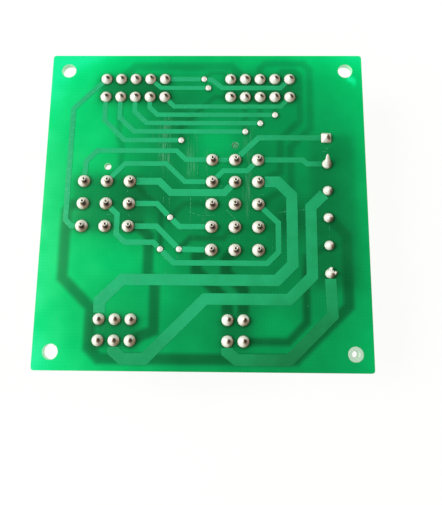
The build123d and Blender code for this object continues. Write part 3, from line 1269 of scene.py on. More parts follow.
@dataclass(frozen=True)
class RubMark:
    """A patch of the lacquer that is lightly rubbed or stained, in streaks along Y."""

    x: float
    y: float
    half_width: float
    half_length: float
    strength: float
    softness: Point = (0.3, 0.8)  # of its sides and of its ends

    def at(self, places: np.ndarray) -> np.ndarray:
        """How strongly the patch marks the lacquer.

        Args:
            places: X and Y of each place in millimetres.

        Returns:
            One number for each place.
        """
        sides, ends = self.softness
        across = soft_step(self.half_width - np.abs(places[:, 0] - self.x), sides)
        along = soft_step(self.half_length - np.abs(places[:, 1] - self.y), ends)
        return self.strength * across * along


# Sub-assemblies


@dataclass
class Board:
    """The laminate with its lacquer on both faces, its drilled holes and its sawn edges."""

    side: float
    low: float
    high: float
    corner_radius: float = 0.8
    divisions: int = 214
    rim_margin: float = 0.1  # in cells of the grid
    hole_spacing: float = 79.375
    hole_diameter: float = 4.1
    peg_holes: tuple[Point, ...] = ((-27.07, 10.83), (8.35, 17.13))
    peg_hole_diameter: float = 2.0
    marks: tuple[RubMark, ...] = (
        RubMark(-11.0, 18.0, 1.6, 6.5, 0.35),
        RubMark(-4.0, 13.0, 1.2, 4.2, 0.3),
        RubMark(11.8, 10.0, 0.8, 12.0, 0.3),
        RubMark(0.4, 1.0, 0.3, 14.0, 0.15),
    )

    def holes(self) -> list[Spot]:
        """Lists the open holes.

        Returns:
            X, Y and radius of each in millimetres.
        """
        half = self.hole_spacing / 2
        found = [(x, y, self.hole_diameter / 2) for x in (-half, half) for y in (-half, half)]
        return found + [(x, y, self.peg_hole_diameter / 2) for x, y in self.peg_holes]

    def blank(self) -> bpy.types.Object:
        """Makes the board as one closed solid with finely divided faces.

        Returns:
            The board without its finishes.
        """
        bpy.ops.mesh.primitive_grid_add(
            x_subdivisions=self.divisions,
            y_subdivisions=self.divisions,
            size=self.side * MM,
            location=(0, 0, self.high * MM),
        )
        item = bpy.context.object
        select_only(item)
        bpy.ops.object.transform_apply(location=True, rotation=False, scale=False)
        self.round_corners(item.data)
        for x, y, radius in self.holes():
            self.drill(item, x, y, radius)
        apply_modifier(
            item,
            "SOLIDIFY",
            thickness=(self.high - self.low) * MM,
            offset=-1.0,
            use_rim=True,
            use_even_offset=False,
        )
        return item

    def round_corners(self, mesh: bpy.types.Mesh) -> None:
        """Draws the vertices at the four corners in to the corner radius.

        Args:
            mesh: The flat grid.
        """
        middle = (self.side / 2 - self.corner_radius) * MM
        radius = self.corner_radius * MM
        for vertex in mesh.vertices:
            centre = Vector(
                (math.copysign(middle, vertex.co.x), math.copysign(middle, vertex.co.y))
            )
            out = vertex.co.xy - centre
            beyond = out.x * centre.x > 0 and out.y * centre.y > 0
            if beyond and out.length > radius:
                vertex.co.xy = centre + out.normalized() * radius

    def drill(self, item: bpy.types.Object, x: float, y: float, radius: float) -> None:
        """Opens a round hole in the grid and draws its rim to the true radius.

        Args:
            item: The flat grid.
            x: The hole's place in millimetres.
            y: The hole's place in millimetres.
            radius: The hole's radius in millimetres.
        """
        centre = Vector((x * MM, y * MM))
        cell = self.side / self.divisions * MM
        reach = radius * MM
        opened = reach - self.rim_margin * cell
        with editing(item):
            pick_faces(item, lambda face: (face.calc_center_median().xy - centre).length < opened)
            bpy.ops.mesh.delete(type="FACE")
        vertices = item.data.vertices
        near = {
            vertex.index
            for vertex in vertices
            if (vertex.co.xy - centre).length < reach + 2 * cell
        }
        edges = Counter(
            key
            for face in item.data.polygons
            if near.intersection(face.vertices)
            for key in face.edge_keys
        )
        open_ends = {index for key, count in edges.items() if count == 1 for index in key}
        for index in open_ends & near:
            away = vertices[index].co.xy - centre
            if away.length < reach + cell:
                vertices[index].co.xy = centre + away.normalized() * reach

    def build(
        self, light: Transmission, solder_foil: FoilOutline, component_foil: FoilOutline
    ) -> None:
        """Builds and dresses the board.

        Args:
            light: How much light comes through.
            solder_foil: The tracks on the soldered face.
            component_foil: The tracks on the component face.
        """
        item = self.blank()
        mesh = item.data
        places = vertex_places(mesh) / MM
        top = places[:, 2] > (self.low + self.high) / 2
        glow = np.empty(len(places))
        glow[top] = light.soldered_face(places[top, :2], component_foil)
        glow[~top] = light.component_face(places[~top, :2], solder_foil)
        rub = np.zeros(len(places))
        for mark in self.marks:
            rub[top] = np.maximum(rub[top], mark.at(places[top, :2]))
        write_attribute(mesh, "glow", glow)
        write_attribute(mesh, "rub", rub)
        mesh.materials.append(LacqueredLaminate().make())
        mesh.materials.append(SawnLaminate().make())
        for face in mesh.polygons:
            face.material_index = int(abs(face.normal.z) < 0.5)
        settle(item, "board", mesh.materials[0], ["laminate"], smooth_angle=30)


@dataclass
class Tracks:
    """The copper tracks of one face under their lacquer, with soft shoulders."""

    node: str
    piece: str
    shoulder: float = 0.05
    shoulder_from: float = 50.0
    light: TrackLight = TrackLight()

    def build(self, nodes: dict[str, bpy.types.Object], finish: bpy.types.Material) -> None:
        """Builds the piece from its CAD node.

        Args:
            nodes: The CAD nodes by name.
            finish: The lacquered copper.
        """
        item = merged_copy(nodes[self.node], self.piece)
        round_edges(item, self.shoulder, self.shoulder_from)
        # The attribute glow holds the tracks' painted light and shade
        write_attribute(item.data, "glow", self.light.at(vertex_places(item.data)[:, :2] / MM))
        settle(item, self.piece, finish, [self.node], weighted=True)


class JointShape(Enum):
    """The shapes that the solder has taken."""

    CONE = "cone"
    SMUDGED_CONE = "smudged_cone"
    TIPPED_CONE = "tipped_cone"
    DOME = "dome"
    SQUARE = "square"
    SPIKE = "spike"


@dataclass(frozen=True)
class JointGroup:
    """The joints of one header."""

    name: str
    first: Point
    columns: int
    rows: int
    pitch: Point
    land: float
    shape: JointShape
    lean: Point = (0.1, 0.1)
    # The direction, in degrees, of the flux and painted shade from the tip, away from the light
    flux_and_shade_angle: float = -35.0

    def places(self) -> list[tuple[int, float, float]]:
        """Row, X and Y of each joint, rows counted from one."""
        return [
            (row + 1, self.first[0] + column * self.pitch[0], self.first[1] - row * self.pitch[1])
            for row in range(self.rows)
            for column in range(self.columns)
        ]


@dataclass(frozen=True)
class FluxAndShade:
    """Brown flux beside a joint's tip, with painted shade on its side away from the light: a dark
    core that is partly flux and partly painted shade, a thin haze of flux and painted shade that fans
    out beyond it, and a spot of painted shade in the middle of the tip. Lengths are shares of the
    foot's radius."""

    ahead: float
    half_length: float
    half_width: float
    core: float
    haze: float = 0.4
    bore: float = 0.15
    clean_above: float = math.inf
    core_softness: float = 0.12
    fan_half_angle: float = 0.95
    fan_softness: float = 0.2
    haze_from: float = 0.1
    haze_softness: float = 0.05
    bore_softness: float = 0.01
    top_softness: float = 0.02

    def at(self, places: np.ndarray, turn: float) -> np.ndarray:
        """How much flux and painted shade lie at each place of one joint.

        Args:
            places: X, Y and height of each vertex from the foot's middle, in foot radii.
            turn: The direction of the flux and painted shade from the tip, in radians.

        Returns:
            Shares from 0 to 1.
        """
        ahead = places[:, :2] @ (math.cos(turn), math.sin(turn))
        aside = places[:, :2] @ (-math.sin(turn), math.cos(turn))
        oval = np.hypot((ahead - self.ahead) / self.half_length, aside / self.half_width)
        core = self.core * soft_step(1 - oval, self.core_softness)
        away = np.abs(np.arctan2(aside, ahead))
        fan = soft_step(self.fan_half_angle - away, self.fan_softness)
        # Thin flux and painted shade, fanning out over the side away from the light
        haze = self.haze * fan * soft_step(ahead - self.haze_from, self.haze_softness)
        # Painted shade at the middle of the tip, in the hollow of a tipped joint
        bore = soft_step(self.bore - np.hypot(ahead, aside), self.bore_softness)
        below = soft_step(self.clean_above - places[:, 2], self.top_softness)
        return np.maximum(np.maximum(core, haze) * below, bore)


# The flux and painted shade of each shape of joint
FLUX_AND_SHADE = {
    JointShape.CONE: FluxAndShade(0.3, 0.46, 0.24, 1.0),
    JointShape.SMUDGED_CONE: FluxAndShade(0.2, 0.38, 0.36, 0.95, haze=0.5),
    JointShape.TIPPED_CONE: FluxAndShade(0.3, 0.52, 0.48, 1.0, haze=0.55, bore=0.19, clean_above=0.9),
    JointShape.DOME: FluxAndShade(0.7, 0.4, 0.6, 0.8, bore=0.0),
    JointShape.SQUARE: FluxAndShade(0.45, 0.45, 0.4, 0.9, bore=0.05),
    JointShape.SPIKE: FluxAndShade(0.8, 0.35, 0.6, 0.7, bore=0.0),
}

# Radius in foot radii and height in millimetres of each ring of a joint, from the foot up
FOOT = ((1.0, 0.0), (0.99, 0.1), (0.96, 0.24), (0.9, 0.42), (0.8, 0.62), (0.68, 0.8))
CONE = FOOT + (
    (0.57, 0.93), (0.46, 1.05), (0.36, 1.18), (0.27, 1.31), (0.19, 1.42), (0.1, 1.49), (0.03, 1.5),
)
HOLLOW_TIP = FOOT + (
    (0.56, 0.93), (0.46, 1.04), (0.39, 1.15), (0.33, 1.28), (0.3, 1.4), (0.29, 1.66),
    (0.26, 1.72), (0.2, 1.7), (0.18, 1.46), (0.03, 1.42),
)
LOW_CROWN = FOOT[:-1] + (
    (0.7, 0.9), (0.57, 1.06), (0.42, 1.18), (0.28, 1.28), (0.15, 1.35), (0.04, 1.38),
)
DRAWN_OUT = FOOT + (
    (0.66, 1.1), (0.56, 1.4), (0.47, 1.7), (0.39, 1.95), (0.31, 2.18), (0.22, 2.36),
    (0.12, 2.46), (0.03, 2.48),
)
ROUND_PROFILES = {
    JointShape.CONE: CONE,
    JointShape.SMUDGED_CONE: CONE,
    JointShape.TIPPED_CONE: HOLLOW_TIP,
    JointShape.DOME: LOW_CROWN,
    JointShape.SPIKE: DRAWN_OUT,
}
# The same for a filled hole's cap, and share and height of each ring of the square joint
CAP = ((1.0, 0.0), (0.99, 0.08), (0.92, 0.24), (0.78, 0.38), (0.55, 0.48), (0.3, 0.54), (0.05, 0.56))
SQUARE_RINGS = ((0.98, 0.12), (0.86, 0.4), (0.62, 0.8), (0.4, 1.2), (0.22, 1.55), (0.08, 1.72))


@dataclass
class SolderWork:
    """All solder on the upper face: a joint round each pin and a cap on each filled hole."""

    face: float
    sides: int = 28
    cap_sides: int = 20
    smooth_angle: float = 60.0
    joint_heights: Point = (0.96, 1.04)  # the least and the most, as shares of the profile
    cap_heights: Point = (0.75, 0.85)
    groups: tuple[JointGroup, ...] = (
        JointGroup(
            "upper_left", (-28.6, 37.12), 5, 2, (4.2, 5.5), 3.1, JointShape.CONE, (0.35, -0.1), -12
        ),
        JointGroup(
            "upper_right", (6.96, 37.12), 5, 2, (4.2, 5.5), 3.1, JointShape.CONE, (0.2, -0.1), -20
        ),
        JointGroup(
            "nine", (-33.42, 6.58), 3, 3, (6.35, 6.35), 3.4, JointShape.TIPPED_CONE, (0.45, 0.25)
        ),
        JointGroup(
            "fifteen", (2.0, 12.88), 3, 5, (6.35, 6.35), 3.4, JointShape.TIPPED_CONE, (0.2, 0.2)
        ),
        JointGroup("edge", (33.7, 19.38), 1, 6, (7.62, 7.62), 2.6, JointShape.DOME),
        JointGroup(
            "lower_left", (-27.39, -31.17), 3, 2, (4.2, 5.5), 3.1, JointShape.SMUDGED_CONE, (0.4, 0.3)
        ),
        JointGroup(
            "lower_right", (6.48, -31.17), 2, 2, (4.2, 5.5), 3.1, JointShape.SMUDGED_CONE, (0.4, 0.3)
        ),
    )
    caps: tuple[Point, ...] = (
        (-0.6, 37.1),
        (0.6, 34.4),
        (19.55, 26.2),
        (15.35, 23.7),
        (11.15, 21.2),
        (-6.8, 18.6),
        (-9.3, -3.6),
        (-11.8, -12.4),
        (-6.7, -12.4),
    )
    cap_diameter: float = 1.65
    square_side: float = 2.9
    spike_lean: Point = (-0.25, 1.85)
    lobes: tuple[Spot, ...] = ((33.95, -17.5, 0.55), (34.95, -18.6, 0.6))
    loose_lean: float = 0.1
    lean_power: float = 2.5
    loose_angle: float = 14.0
    seed: int = 7

    def feet(self) -> tuple[Spot, ...]:
        """X, Y and foot radius of every joint and cap in millimetres."""
        joints = [(x, y, group.land / 2) for group in self.groups for _, x, y in group.places()]
        return tuple(joints + [(x, y, self.cap_diameter / 2) for x, y in self.caps])

    def template(self, shape: JointShape) -> bpy.types.Object:
        """One joint of unit foot radius 1 mm, standing at the origin.

        Args:
            shape: What the solder looks like.

        Returns:
            The template, its foot at height 0.
        """
        if shape is JointShape.SQUARE:
            return self.square_template()
        return spun_profile(ROUND_PROFILES[shape], self.sides)

    def square_template(self) -> bpy.types.Object:
        """The joint on the square land: a four-sided heap with rounded ridges.

        Returns:
            The template, its foot at height 0.
        """
        bpy.ops.mesh.primitive_plane_add(size=2 * MM, location=(0, 0, 0))
        item = bpy.context.object
        share, level = 1.0, 0.0
        with editing(item):
            bpy.ops.mesh.select_all(action="SELECT")
            bpy.ops.mesh.subdivide(number_cuts=3)
            bpy.ops.mesh.select_all(action="SELECT")
            for next_share, next_level in SQUARE_RINGS:
                bpy.ops.mesh.extrude_region_move(
                    TRANSFORM_OT_translate={"value": (0, 0, (next_level - level) * MM)}
                )
                factor = next_share / share
                bpy.ops.transform.resize(
                    value=(factor, factor, 1), center_override=(0, 0, next_level * MM)
                )
                share, level = next_share, next_level
        apply_modifier(item, "SUBSURF", levels=1, render_levels=1)
        return item

    def place_joint(
        self,
        templates: dict[JointShape, bpy.types.Object],
        shape: JointShape,
        spot: Spot,
        lean: Point,
        flux_and_shade_angle: float,
        draw: random.Random,
    ) -> bpy.types.Object:
        """Sets a copy of a template on its land, turned and leaning a little.

        Args:
            templates: The template of each shape.
            shape: The joint's shape.
            spot: X, Y and foot radius in millimetres.
            lean: How far the tip stands out of the middle, in millimetres.
            flux_and_shade_angle: The direction of the flux and painted shade from the tip, in
                degrees.
            draw: The seeded source of small differences.

        Returns:
            The joint as its own object.
        """
        x, y, radius = spot
        spin = 0.0 if shape is JointShape.SQUARE else draw.uniform(0, 2 * math.pi)
        tall = draw.uniform(*self.joint_heights)
        turned = Matrix.Rotation(spin, 4, "Z") @ Matrix.Diagonal((radius, radius, tall, 1))
        item = copy_at(templates[shape], turned)
        places = vertex_places(item.data)
        turn = math.radians(flux_and_shade_angle + draw.uniform(-1, 1) * self.loose_angle)
        # The attribute flux holds the flux and the painted shade
        write_attribute(item.data, "flux", FLUX_AND_SHADE[shape].at(places / (radius * MM), turn))
        rise = places[:, 2] / places[:, 2].max()
        places[:, 0] += lean[0] * MM * rise**self.lean_power + x * MM
        places[:, 1] += lean[1] * MM * rise**self.lean_power + y * MM
        places[:, 2] += self.face * MM
        item.data.vertices.foreach_set("co", places.ravel().astype(np.float32))
        return item

    def joint_plan(
        self, group: JointGroup, draw: random.Random
    ) -> Iterator[tuple[JointShape, Spot, Point]]:
        """Says what stands on each land of a group. The edge header's first joint is square
        and its second drawn out to a spike, and two small lobes hang on its last one.

        Args:
            group: The joints of one header.
            draw: The seeded source of small differences.

        Yields:
            The shape, the place with the foot's radius, and the lean of each.
        """
        at_edge = group.name == "edge"
        for row, x, y in group.places():
            shape, radius = group.shape, group.land / 2
            lean = tuple(way + draw.uniform(-1, 1) * self.loose_lean for way in group.lean)
            if at_edge and row == 1:
                shape, radius = JointShape.SQUARE, self.square_side / 2
            if at_edge and row == 2:
                shape, lean = JointShape.SPIKE, self.spike_lean
            yield shape, (x, y, radius), lean
        for lobe in self.lobes if at_edge else ():
            yield JointShape.DOME, lobe, (0.0, 0.0)

    def build(self, finish: bpy.types.Material) -> None:
        """Builds all joints and caps.

        Args:
            finish: The solder.
        """
        draw = random.Random(self.seed)
        templates = {shape: self.template(shape) for shape in JointShape}
        for group in self.groups:
            parts = [
                self.place_joint(templates, shape, spot, lean, group.flux_and_shade_angle, draw)
                for shape, spot, lean in self.joint_plan(group, draw)
            ]
            name = f"joints_{group.name}"
            settle(join(parts), name, finish, ["solder_joints"], self.smooth_angle)
        self.build_caps(finish, draw)
        discard(*templates.values())

    def build_caps(self, finish: bpy.types.Material, draw: random.Random) -> None:
        """Builds the caps of the filled holes, which are free of flux and painted shade.

        Args:
            finish: The solder.
            draw: The seeded source of small differences.
        """
        cap = spun_profile(CAP, self.cap_sides)
        radius = self.cap_diameter / 2
        parts = []
        for x, y in self.caps:
            place = Matrix.Translation((x * MM, y * MM, self.face * MM))
            size = Matrix.Diagonal((radius, radius, draw.uniform(*self.cap_heights), 1))
            item = copy_at(cap, place @ size)
            write_attribute(item.data, "flux", np.zeros(len(item.data.vertices)))
            parts.append(item)
        settle(join(parts), "hole_caps", finish, ["via_caps"], self.smooth_angle)
        discard(cap)


@dataclass
class Header:
    """One moulded housing, its edges rounded as a mould leaves them."""

    node: str
    edge_radius: float = 0.12
    rounded_from: float = 30.0

    def build(self, nodes: dict[str, bpy.types.Object], finish: bpy.types.Material) -> None:
        """Builds the piece from its CAD node.

        Args:
            nodes: The CAD nodes by name.
            finish: The nylon.
        """
        piece = f"{self.node}_housing"
        item = merged_copy(nodes[self.node], piece)
        round_edges(item, self.edge_radius, self.rounded_from)
        settle(item, piece, finish, [self.node], weighted=True)


@dataclass
class RoundContacts:
    """The round contacts of one square-grid header: barrel, rounded nose and square tail."""

    group: JointGroup
    floor: float = 13.1
    tip: float = 2.0
    radius: float = 1.065
    sides: int = 24
    nose: tuple[Point, ...] = ((0.3, 0.0), (0.55, 0.12), (0.8, 0.4), (0.95, 0.8), (1.0, 1.3))
    collar_drop: float = 1.2
    collar_height: float = 0.7
    collar_slope: float = 0.15
    collar_share: float = 1.14
    tail: float = 1.2
    tail_top: float = 19.8
    tail_chamfer: float = 0.08

    def barrel(self) -> bpy.types.Object:
        """Makes the turned part of one contact: nose, barrel and the collar near its floor.

        Returns:
            The barrel at the origin.
        """
        collar, wide = self.floor - self.collar_drop, self.radius * self.collar_share
        profile = [(share * self.radius, self.tip + level) for share, level in self.nose]
        profile += [
            (self.radius, collar - self.collar_slope),
            (wide, collar),
            (wide, collar + self.collar_height),
            (self.radius, collar + self.collar_height + self.collar_slope),
            (self.radius, self.floor),
        ]
        return spun_profile(profile, self.sides)

    def build(self, finish: bpy.types.Material) -> None:
        """Builds all contacts of the header.

        Args:
            finish: The plated brass.
        """
        barrel = self.barrel()
        bpy.ops.mesh.primitive_cube_add(size=1.0, location=(0, 0, 0))
        tail = bpy.context.object
        middle, length = (self.floor + self.tail_top) / 2, self.tail_top - self.floor
        size = Matrix.Diagonal((self.tail * MM, self.tail * MM, length * MM, 1))
        tail.data.transform(Matrix.Translation((0, 0, middle * MM)) @ size)
        apply_modifier(tail, "BEVEL", width=self.tail_chamfer * MM, segments=1)
        contact = join([barrel, tail])
        parts = [
            copy_at(contact, Matrix.Translation((x * MM, y * MM, 0)))
            for _, x, y in self.group.places()
        ]
        name = self.group.name
        settle(join(parts), f"contacts_{name}", finish, [f"pins_{name}"])
        discard(contact)


@dataclass
class HollowBush:
    """The nylon bush in the lower right mounting hole."""

    x: float = 39.6875
    y: float = -39.6875
    outside: float = 4.05  # 3.9 in the solids; wider here, so that no slit of light shows
    bore: float = 1.9
    collar: float = 5.6
    collar_height: float = 1.2
    collar_round: float = 0.25
    collar_shoulder: float = 0.2
    top_round: float = 0.15
    top_lead_in: float = 0.2
    foot_lead_in: float = 0.12
    steps: int = 48
    smooth_angle: float = 40.0

    def build(self, low: float, high: float, finish: bpy.types.Material) -> None:
        """Builds the bush as one turned solid.

        Args:
            low: The board's lower face in millimetres.
            high: The board's soldered face in millimetres.
            finish: The bush's nylon, with its painted light and shade.
        """
        inner, outer, wide = self.bore / 2, self.outside / 2, self.collar / 2
        foot = low - self.collar_height
        section = (
            (inner + self.foot_lead_in, foot),
            (wide - self.collar_round, foot),
            (wide, foot + self.collar_round),
            (wide, low - self.collar_shoulder),
            (wide - self.collar_shoulder, low),
            (outer, low),
            (outer, high - self.top_round),
            (outer - self.top_round, high),
            (inner + self.top_lead_in, high),
            (inner, high - self.top_lead_in),
            (inner, foot + self.foot_lead_in),
        )
        bpy.ops.mesh.primitive_circle_add(
            vertices=len(section), radius=MM, fill_type="NOTHING", location=(0, 0, 0)
        )
        item = bpy.context.object
        for vertex, (radius, level) in zip(item.data.vertices, section):
            vertex.co = (radius * MM, 0, level * MM)
        with editing(item, "VERT"):
            bpy.ops.mesh.select_all(action="SELECT")
            bpy.ops.mesh.spin(
                steps=self.steps,
                angle=2 * math.pi,
                center=(0, 0, 0),
                axis=(0, 0, 1),
                use_auto_merge=True,
            )
            bpy.ops.mesh.select_all(action="SELECT")
            bpy.ops.mesh.remove_doubles(threshold=0.001 * MM)
            bpy.ops.mesh.normals_make_consistent(inside=False)
        item.data.transform(Matrix.Translation((self.x * MM, self.y * MM, 0)))
        settle(item, "bush", finish, ["corner_bush"], self.smooth_angle)


@dataclass
class PegEnd:
    """The riveted-over end of the larger square header's locating peg, in its hole."""

    x: float = 8.35
    y: float = 17.13
    top: float = 18.67
    sides: int = 24
    crown: tuple[Point, ...] = ((0.95, -0.02), (0.95, 0.03), (0.88, 0.08), (0.4, 0.1), (0.05, 0.1))

    def build(self, finish: bpy.types.Material) -> None:
        """Builds the low crowned end.

        Args:
            finish: Nylon as it looks through the green laminate round it.
        """
        item = spun_profile(self.crown, self.sides, self.top)
        item.data.transform(Matrix.Translation((self.x * MM, self.y * MM, 0)))
        settle(item, "peg_end", finish, smooth_angle=50)


@dataclass
class WornLacquer:
    """Fine scratches and dried flux on the soldered face: thin slivers that stand a little
    proud of the lacquer."""

    face: float
    height: float = 0.06
    width: float = 0.2
    loose: float = 0.05
    seed: int = 5
    sides: int = 8
    top_shares: Point = (0.8, 0.6)  # of the foot's length and width
    longest: float = 1.2
    shortest: float = 0.22
    length_shares: Point = (0.75, 1.15)  # the least and the most, as in the next lines
    width_shares: Point = (0.5, 1.1)
    height_shares: Point = (0.6, 1.2)
    speck_length: Point = (0.2, 0.35)
    hatch_slant: Point = (-0.1, 0.1)
    hatch_length: Point = (0.8, 2.6)
    lines: tuple[Stroke, ...] = (
        (-14.7, 18.7, -14.7, 21.4), (-4.9, 19.7, -4.3, 13.2), (-2.9, 21.2, -2.3, 17.9),
        (-4.6, 11.3, -4.6, 8.6), (-2.1, 11.3, -2.0, 8.6), (0.5, 11.8, 0.5, 9.3),
        (-12.3, 14.1, -12.2, 12.7), (-11.3, 9.4, -11.4, 7.4), (-11.3, 2.3, -11.2, 0.5),
        (-9.7, 2.1, -9.6, -1.1), (-3.8, 2.1, -3.8, -5.1), (-3.7, -2.3, -0.9, -3.1),
        (-0.9, -3.1, 3.1, -2.8), (6.1, -1.4, 8.8, -4.4), (12.6, 0.4, 13.3, 0.4),
        (12.1, 17.4, 12.6, 14.1), (4.1, 5.7, 4.8, 4.9), (-0.3, -3.4, -0.3, -4.5),
        (14.3, 2.9, 16.4, 2.8), (20.2, -2.1, 27.6, -1.2), (33.2, 16.6, 34.3, 16.0),
        (-26.5, 4.3, -26.5, 2.7), (-21.2, 4.1, -21.2, 3.4), (-20.9, -2.8, -20.3, -3.5),
        (-27.1, -2.9, -25.4, -2.9), (-6.9, -6.4, -5.7, -7.7), (-7.1, -14.1, -7.1, -15.4),
        (-10.0, -18.2, -10.1, -19.5), (-25.7, -33.1, -26.3, -34.8), (7.0, 29.4, 7.3, 28.0),
        (10.5, 29.1, 10.9, 28.0), (33.8, -5.6, 34.0, -7.0), (33.9, -8.2, 33.9, -9.1),
        (34.3, 17.0, 34.0, 15.9), (32.5, 15.4, 33.8, 15.5),
    )
    specks: tuple[Point, ...] = (
        (-2.7, 10.5), (-11.3, 5.1), (-3.5, -7.3), (-3.7, -10.4), (-2.9, -9.3), (10.4, -0.5),
        (10.7, -1.6), (8.3, -3.3), (11.7, -3.0), (11.5, 8.0), (11.0, 15.6), (12.6, -4.4),
        (2.7, 10.0), (0.8, 8.6), (-1.9, -3.5), (-0.8, 1.1), (1.3, -9.7), (8.6, -9.4),
        (9.1, -10.2), (15.6, -9.5), (17.4, -9.8), (18.4, -10.2), (18.4, -11.9), (-24.7, 2.8),
        (-9.9, -5.8), (-9.2, -9.1), (-9.4, -10.0), (-20.1, 14.5), (-14.9, 8.7), (-15.9, 3.0),
        (-18.7, 7.3), (-20.4, -22.8), (0.4, -21.8), (-38.5, -31.3), (22.1, -25.7), (32.6, -25.6),
        (38.1, -28.4), (33.4, -32.7), (27.7, -27.3), (44.0, -23.2), (-4.9, 40.6), (13.9, 22.4),
        (1.1, 16.0),
    )
    hatch: tuple[Point, Point] = ((-12.9, -9.7), (12.0, 24.0))  # its ends in X and in Y
    hatch_lines: int = 26

    def strokes(self, draw: random.Random) -> list[Stroke]:
        """Lists every mark, the hatched patch included.

        Args:
            draw: The seeded source of small differences.

        Returns:
            The start and end of each in millimetres.
        """
        across, along = self.hatch
        found = list(self.lines)
        for x, y in self.specks:
            away = draw.uniform(*self.speck_length)
            turn = draw.uniform(0, math.pi)
            found.append((x, y, x + away * math.cos(turn), y + away * math.sin(turn)))
        for _ in range(self.hatch_lines):
            x, y = draw.uniform(*across), draw.uniform(*along)
            slant, length = draw.uniform(*self.hatch_slant), draw.uniform(*self.hatch_length)
            found.append((x, y, x + slant, y + length))
        return found

    def sliver(self) -> bpy.types.Object:
        """Makes the sliver that all marks are copies of: a flat oval 1 mm long and wide.

        Returns:
            The sliver at the origin.
        """
        bpy.ops.mesh.primitive_circle_add(
            vertices=self.sides, radius=0.5 * MM, fill_type="NGON", location=(0, 0, 0)
        )
        item = bpy.context.object
        top = (0, 0, self.height * MM)
        with editing(item):
            bpy.ops.mesh.select_all(action="SELECT")
            bpy.ops.mesh.extrude_region_move(TRANSFORM_OT_translate={"value": top})
            bpy.ops.transform.resize(value=(*self.top_shares, 1), center_override=top)
            bpy.ops.mesh.select_all(action="SELECT")
            bpy.ops.mesh.normals_make_consistent(inside=False)
        return item

    def build(self, finish: bpy.types.Material) -> None:
        """Builds all slivers as copies of one, as broken up as rubbed lacquer is.

        Args:
            finish: The dried flux.
        """
        draw = random.Random(self.seed)
        sliver = self.sliver()
        parts = []
        for x0, y0, x1, y1 in self.strokes(draw):
            long = math.hypot(x1 - x0, y1 - y0)
            pieces = max(1, round(long / self.longest))
            turn = Matrix.Rotation(math.atan2(y1 - y0, x1 - x0), 4, "Z")
            for index in range(pieces):
                share = (index + 0.5) / pieces
                x = x0 + (x1 - x0) * share + draw.uniform(-1, 1) * self.loose
                y = y0 + (y1 - y0) * share + draw.uniform(-1, 1) * self.loose
                reach = max(long / pieces * draw.uniform(*self.length_shares), self.shortest)
                wide = self.width * draw.uniform(*self.width_shares)
                place = Matrix.Translation((x * MM, y * MM, self.face * MM))
                size = Matrix.Diagonal((reach, wide, draw.uniform(*self.height_shares), 1))
                parts.append(copy_at(sliver, place @ turn @ size))
        settle(join(parts), "worn_lacquer", finish, smooth_angle=20)
        discard(sliver)


@dataclass(frozen=True)
class Softbox:
    """A square soft light that faces the board, with its place and side in millimetres and
    its power in watts."""

    name: str
    place: Place
    side: float
    power: float

    def hang(self) -> None:
        """Hangs the light in its place."""
        lamp = bpy.data.lights.new(self.name, "AREA")
        lamp.shape, lamp.size, lamp.energy = "SQUARE", self.side * MM, self.power
        hung = bpy.data.objects.new(self.name, lamp)
        bpy.context.scene.collection.objects.link(hung)
        hung.location = Vector(self.place) * MM
        hung.rotation_euler = (-hung.location).to_track_quat("-Z", "Y").to_euler()


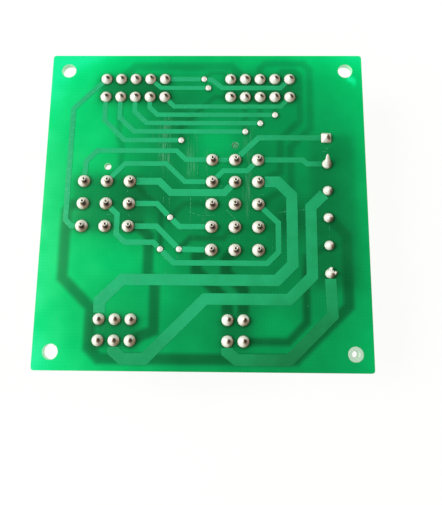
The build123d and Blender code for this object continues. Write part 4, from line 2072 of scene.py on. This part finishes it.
@dataclass
class Studio:
    """The camera at the photograph's place, the light table and the soft lights."""

    camera_place: Place = (6.52, -33.02, 138.13)
    camera_turn: Place = (-0.1633, 0.0136, 0.0077)
    lens: float = 32.08
    lens_shift: Point = (-0.0012, 0.0012)
    sensor_width: float = 36.0
    clip: Point = (0.005, 20.0)  # in metres
    bright_side: Place = (-0.6, -0.8, 0.0)
    table_side: float = 6000.0
    table_divisions: int = 8
    softboxes: tuple[Softbox, ...] = (
        Softbox("softbox_left", (-470, 60, 400), 420, 3.7),
        Softbox("softbox_right", (480, 160, 300), 240, 1.2),
    )

    def place_camera(self) -> None:
        """Sets the camera as it was solved from the photograph's own joints and corners."""
        lens = bpy.data.cameras.new("camera")
        lens.lens = self.lens
        lens.sensor_width = self.sensor_width
        lens.shift_x, lens.shift_y = self.lens_shift
        lens.clip_start, lens.clip_end = self.clip
        camera = bpy.data.objects.new("camera", lens)
        bpy.context.scene.collection.objects.link(camera)
        turn = Vector(self.camera_turn)
        solved = Quaternion(turn.normalized(), turn.length).to_matrix()
        flip = Matrix.Diagonal((1.0, -1.0, -1.0))
        camera.matrix_world = Matrix.Translation(Vector(self.camera_place) * MM) @ (
            flip @ solved.transposed() @ flip
        ).to_4x4()
        bpy.context.scene.camera = camera

    def lay_table(self) -> None:
        """Lays the white table under the object."""
        bpy.ops.mesh.primitive_grid_add(
            x_subdivisions=self.table_divisions,
            y_subdivisions=self.table_divisions,
            size=self.table_side * MM,
            location=(0, 0, 0),
        )
        table = bpy.context.object
        table.name = "light_table"
        table.data.materials.append(LightTable().make())

    def light_tent(self) -> None:
        """A white tent round the table: bright at the horizon and dim overhead, where the
        camera looks in, so that the lacquer keeps its depth and the solder is white."""
        world = bpy.data.worlds.new("tent")
        bpy.context.scene.world = world
        world.use_nodes = True
        tree = world.node_tree
        tree.nodes.clear()
        way = add_node(tree, "ShaderNodeTexCoord").outputs["Generated"]
        parts = add_node(tree, "ShaderNodeSeparateXYZ", links={0: way})
        walls = add_node(
            tree,
            "ShaderNodeMapRange",
            {"From Min": 0.45, "From Max": 0.8, "To Min": 0.75, "To Max": 0.06},
            {"Value": parts.outputs["Z"]},
        )
        towards = add_node(
            tree, "ShaderNodeVectorMath", {"operation": "DOT_PRODUCT", 1: self.bright_side}, {0: way}
        )
        sided = add_node(
            tree,
            "ShaderNodeMapRange",
            {"From Min": -1.0, "From Max": 1.0, "To Min": 0.35, "To Max": 1.4},
            {"Value": towards.outputs["Value"]},
        )
        strength = add_node(
            tree,
            "ShaderNodeMath",
            {"operation": "MULTIPLY"},
            {0: walls.outputs[0], 1: sided.outputs[0]},
        )
        background = add_node(
            tree,
            "ShaderNodeBackground",
            {"Color": linear_colour("#ffffff")},
            {"Strength": strength.outputs[0]},
        )
        add_node(tree, "ShaderNodeOutputWorld", links={"Surface": background.outputs[0]})

    def build(self) -> None:
        """Sets up everything that isn't part of the object."""
        bpy.context.scene.view_settings.view_transform = "Standard"
        self.place_camera()
        self.lay_table()
        self.light_tent()
        for softbox in self.softboxes:
            softbox.hang()


@dataclass
class JunctionBoard:
    """The whole object, put together from its sub-assemblies."""

    nodes: dict[str, bpy.types.Object]
    round_contacts: tuple[str, ...] = ("nine", "fifteen")

    def dress_pins(self, name: str, finish: bpy.types.Material) -> None:
        """Gives the CAD pins of one header their finish.

        Args:
            name: The header's name.
            finish: The plated brass.
        """
        node = self.nodes[f"pins_{name}"]
        node.data.materials.clear()
        node.data.materials.append(finish)
        LOG.info("%s: CAD node dressed in %s", node.name, finish.name)

    def build(self) -> None:
        """Builds every piece and dresses the CAD nodes that stay."""
        low, high = (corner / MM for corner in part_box("laminate"))
        side = high.x - low.x
        solder_foil = FoilOutline(self.nodes["solder_side_tracks"])
        component_foil = FoilOutline(self.nodes["component_side_tracks"])
        solder = SolderWork(high.z)
        board = Board(side, low.z, high.z)
        board.build(Transmission(side / 2, solder.feet()), solder_foil, component_foil)
        copper = LacqueredCopper().make()
        Tracks("solder_side_tracks", "tracks_soldered_face").build(self.nodes, copper)
        Tracks("component_side_tracks", "tracks_component_face").build(self.nodes, copper)
        solder.build(WaveSolder().make())
        nylon = MouldedNylon().make()
        for group in solder.groups:
            Header(f"header_{group.name}").build(self.nodes, nylon)
        plated = TinnedBrass().make()
        for group in solder.groups:
            if group.name in self.round_contacts:
                RoundContacts(group).build(plated)
            else:
                self.dress_pins(group.name, plated)
        # The bush's grey-green is painted shade and green light from the laminate round it, and its
        # emission is a painted glow
        bush = MouldedNylon("nylon_bush_painted_light", pale="#b4cdb6", shaded="#a2bda6", glow=0.25)
        HollowBush().build(low.z, high.z, bush.make())
        lit_nylon = MouldedNylon("nylon_lit_through_laminate", pale="#4aa56a", shaded="#3d9960")
        PegEnd().build(lit_nylon.make())
        WornLacquer(high.z).build(DriedFlux().make())


def main() -> None:
    """Builds the object and the studio."""
    logging.basicConfig(level=logging.INFO, format="%(name)s %(message)s")
    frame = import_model()
    JunctionBoard(frame["nodes"]).build()
    Studio().build()


if __name__ == "__main__":
    main()
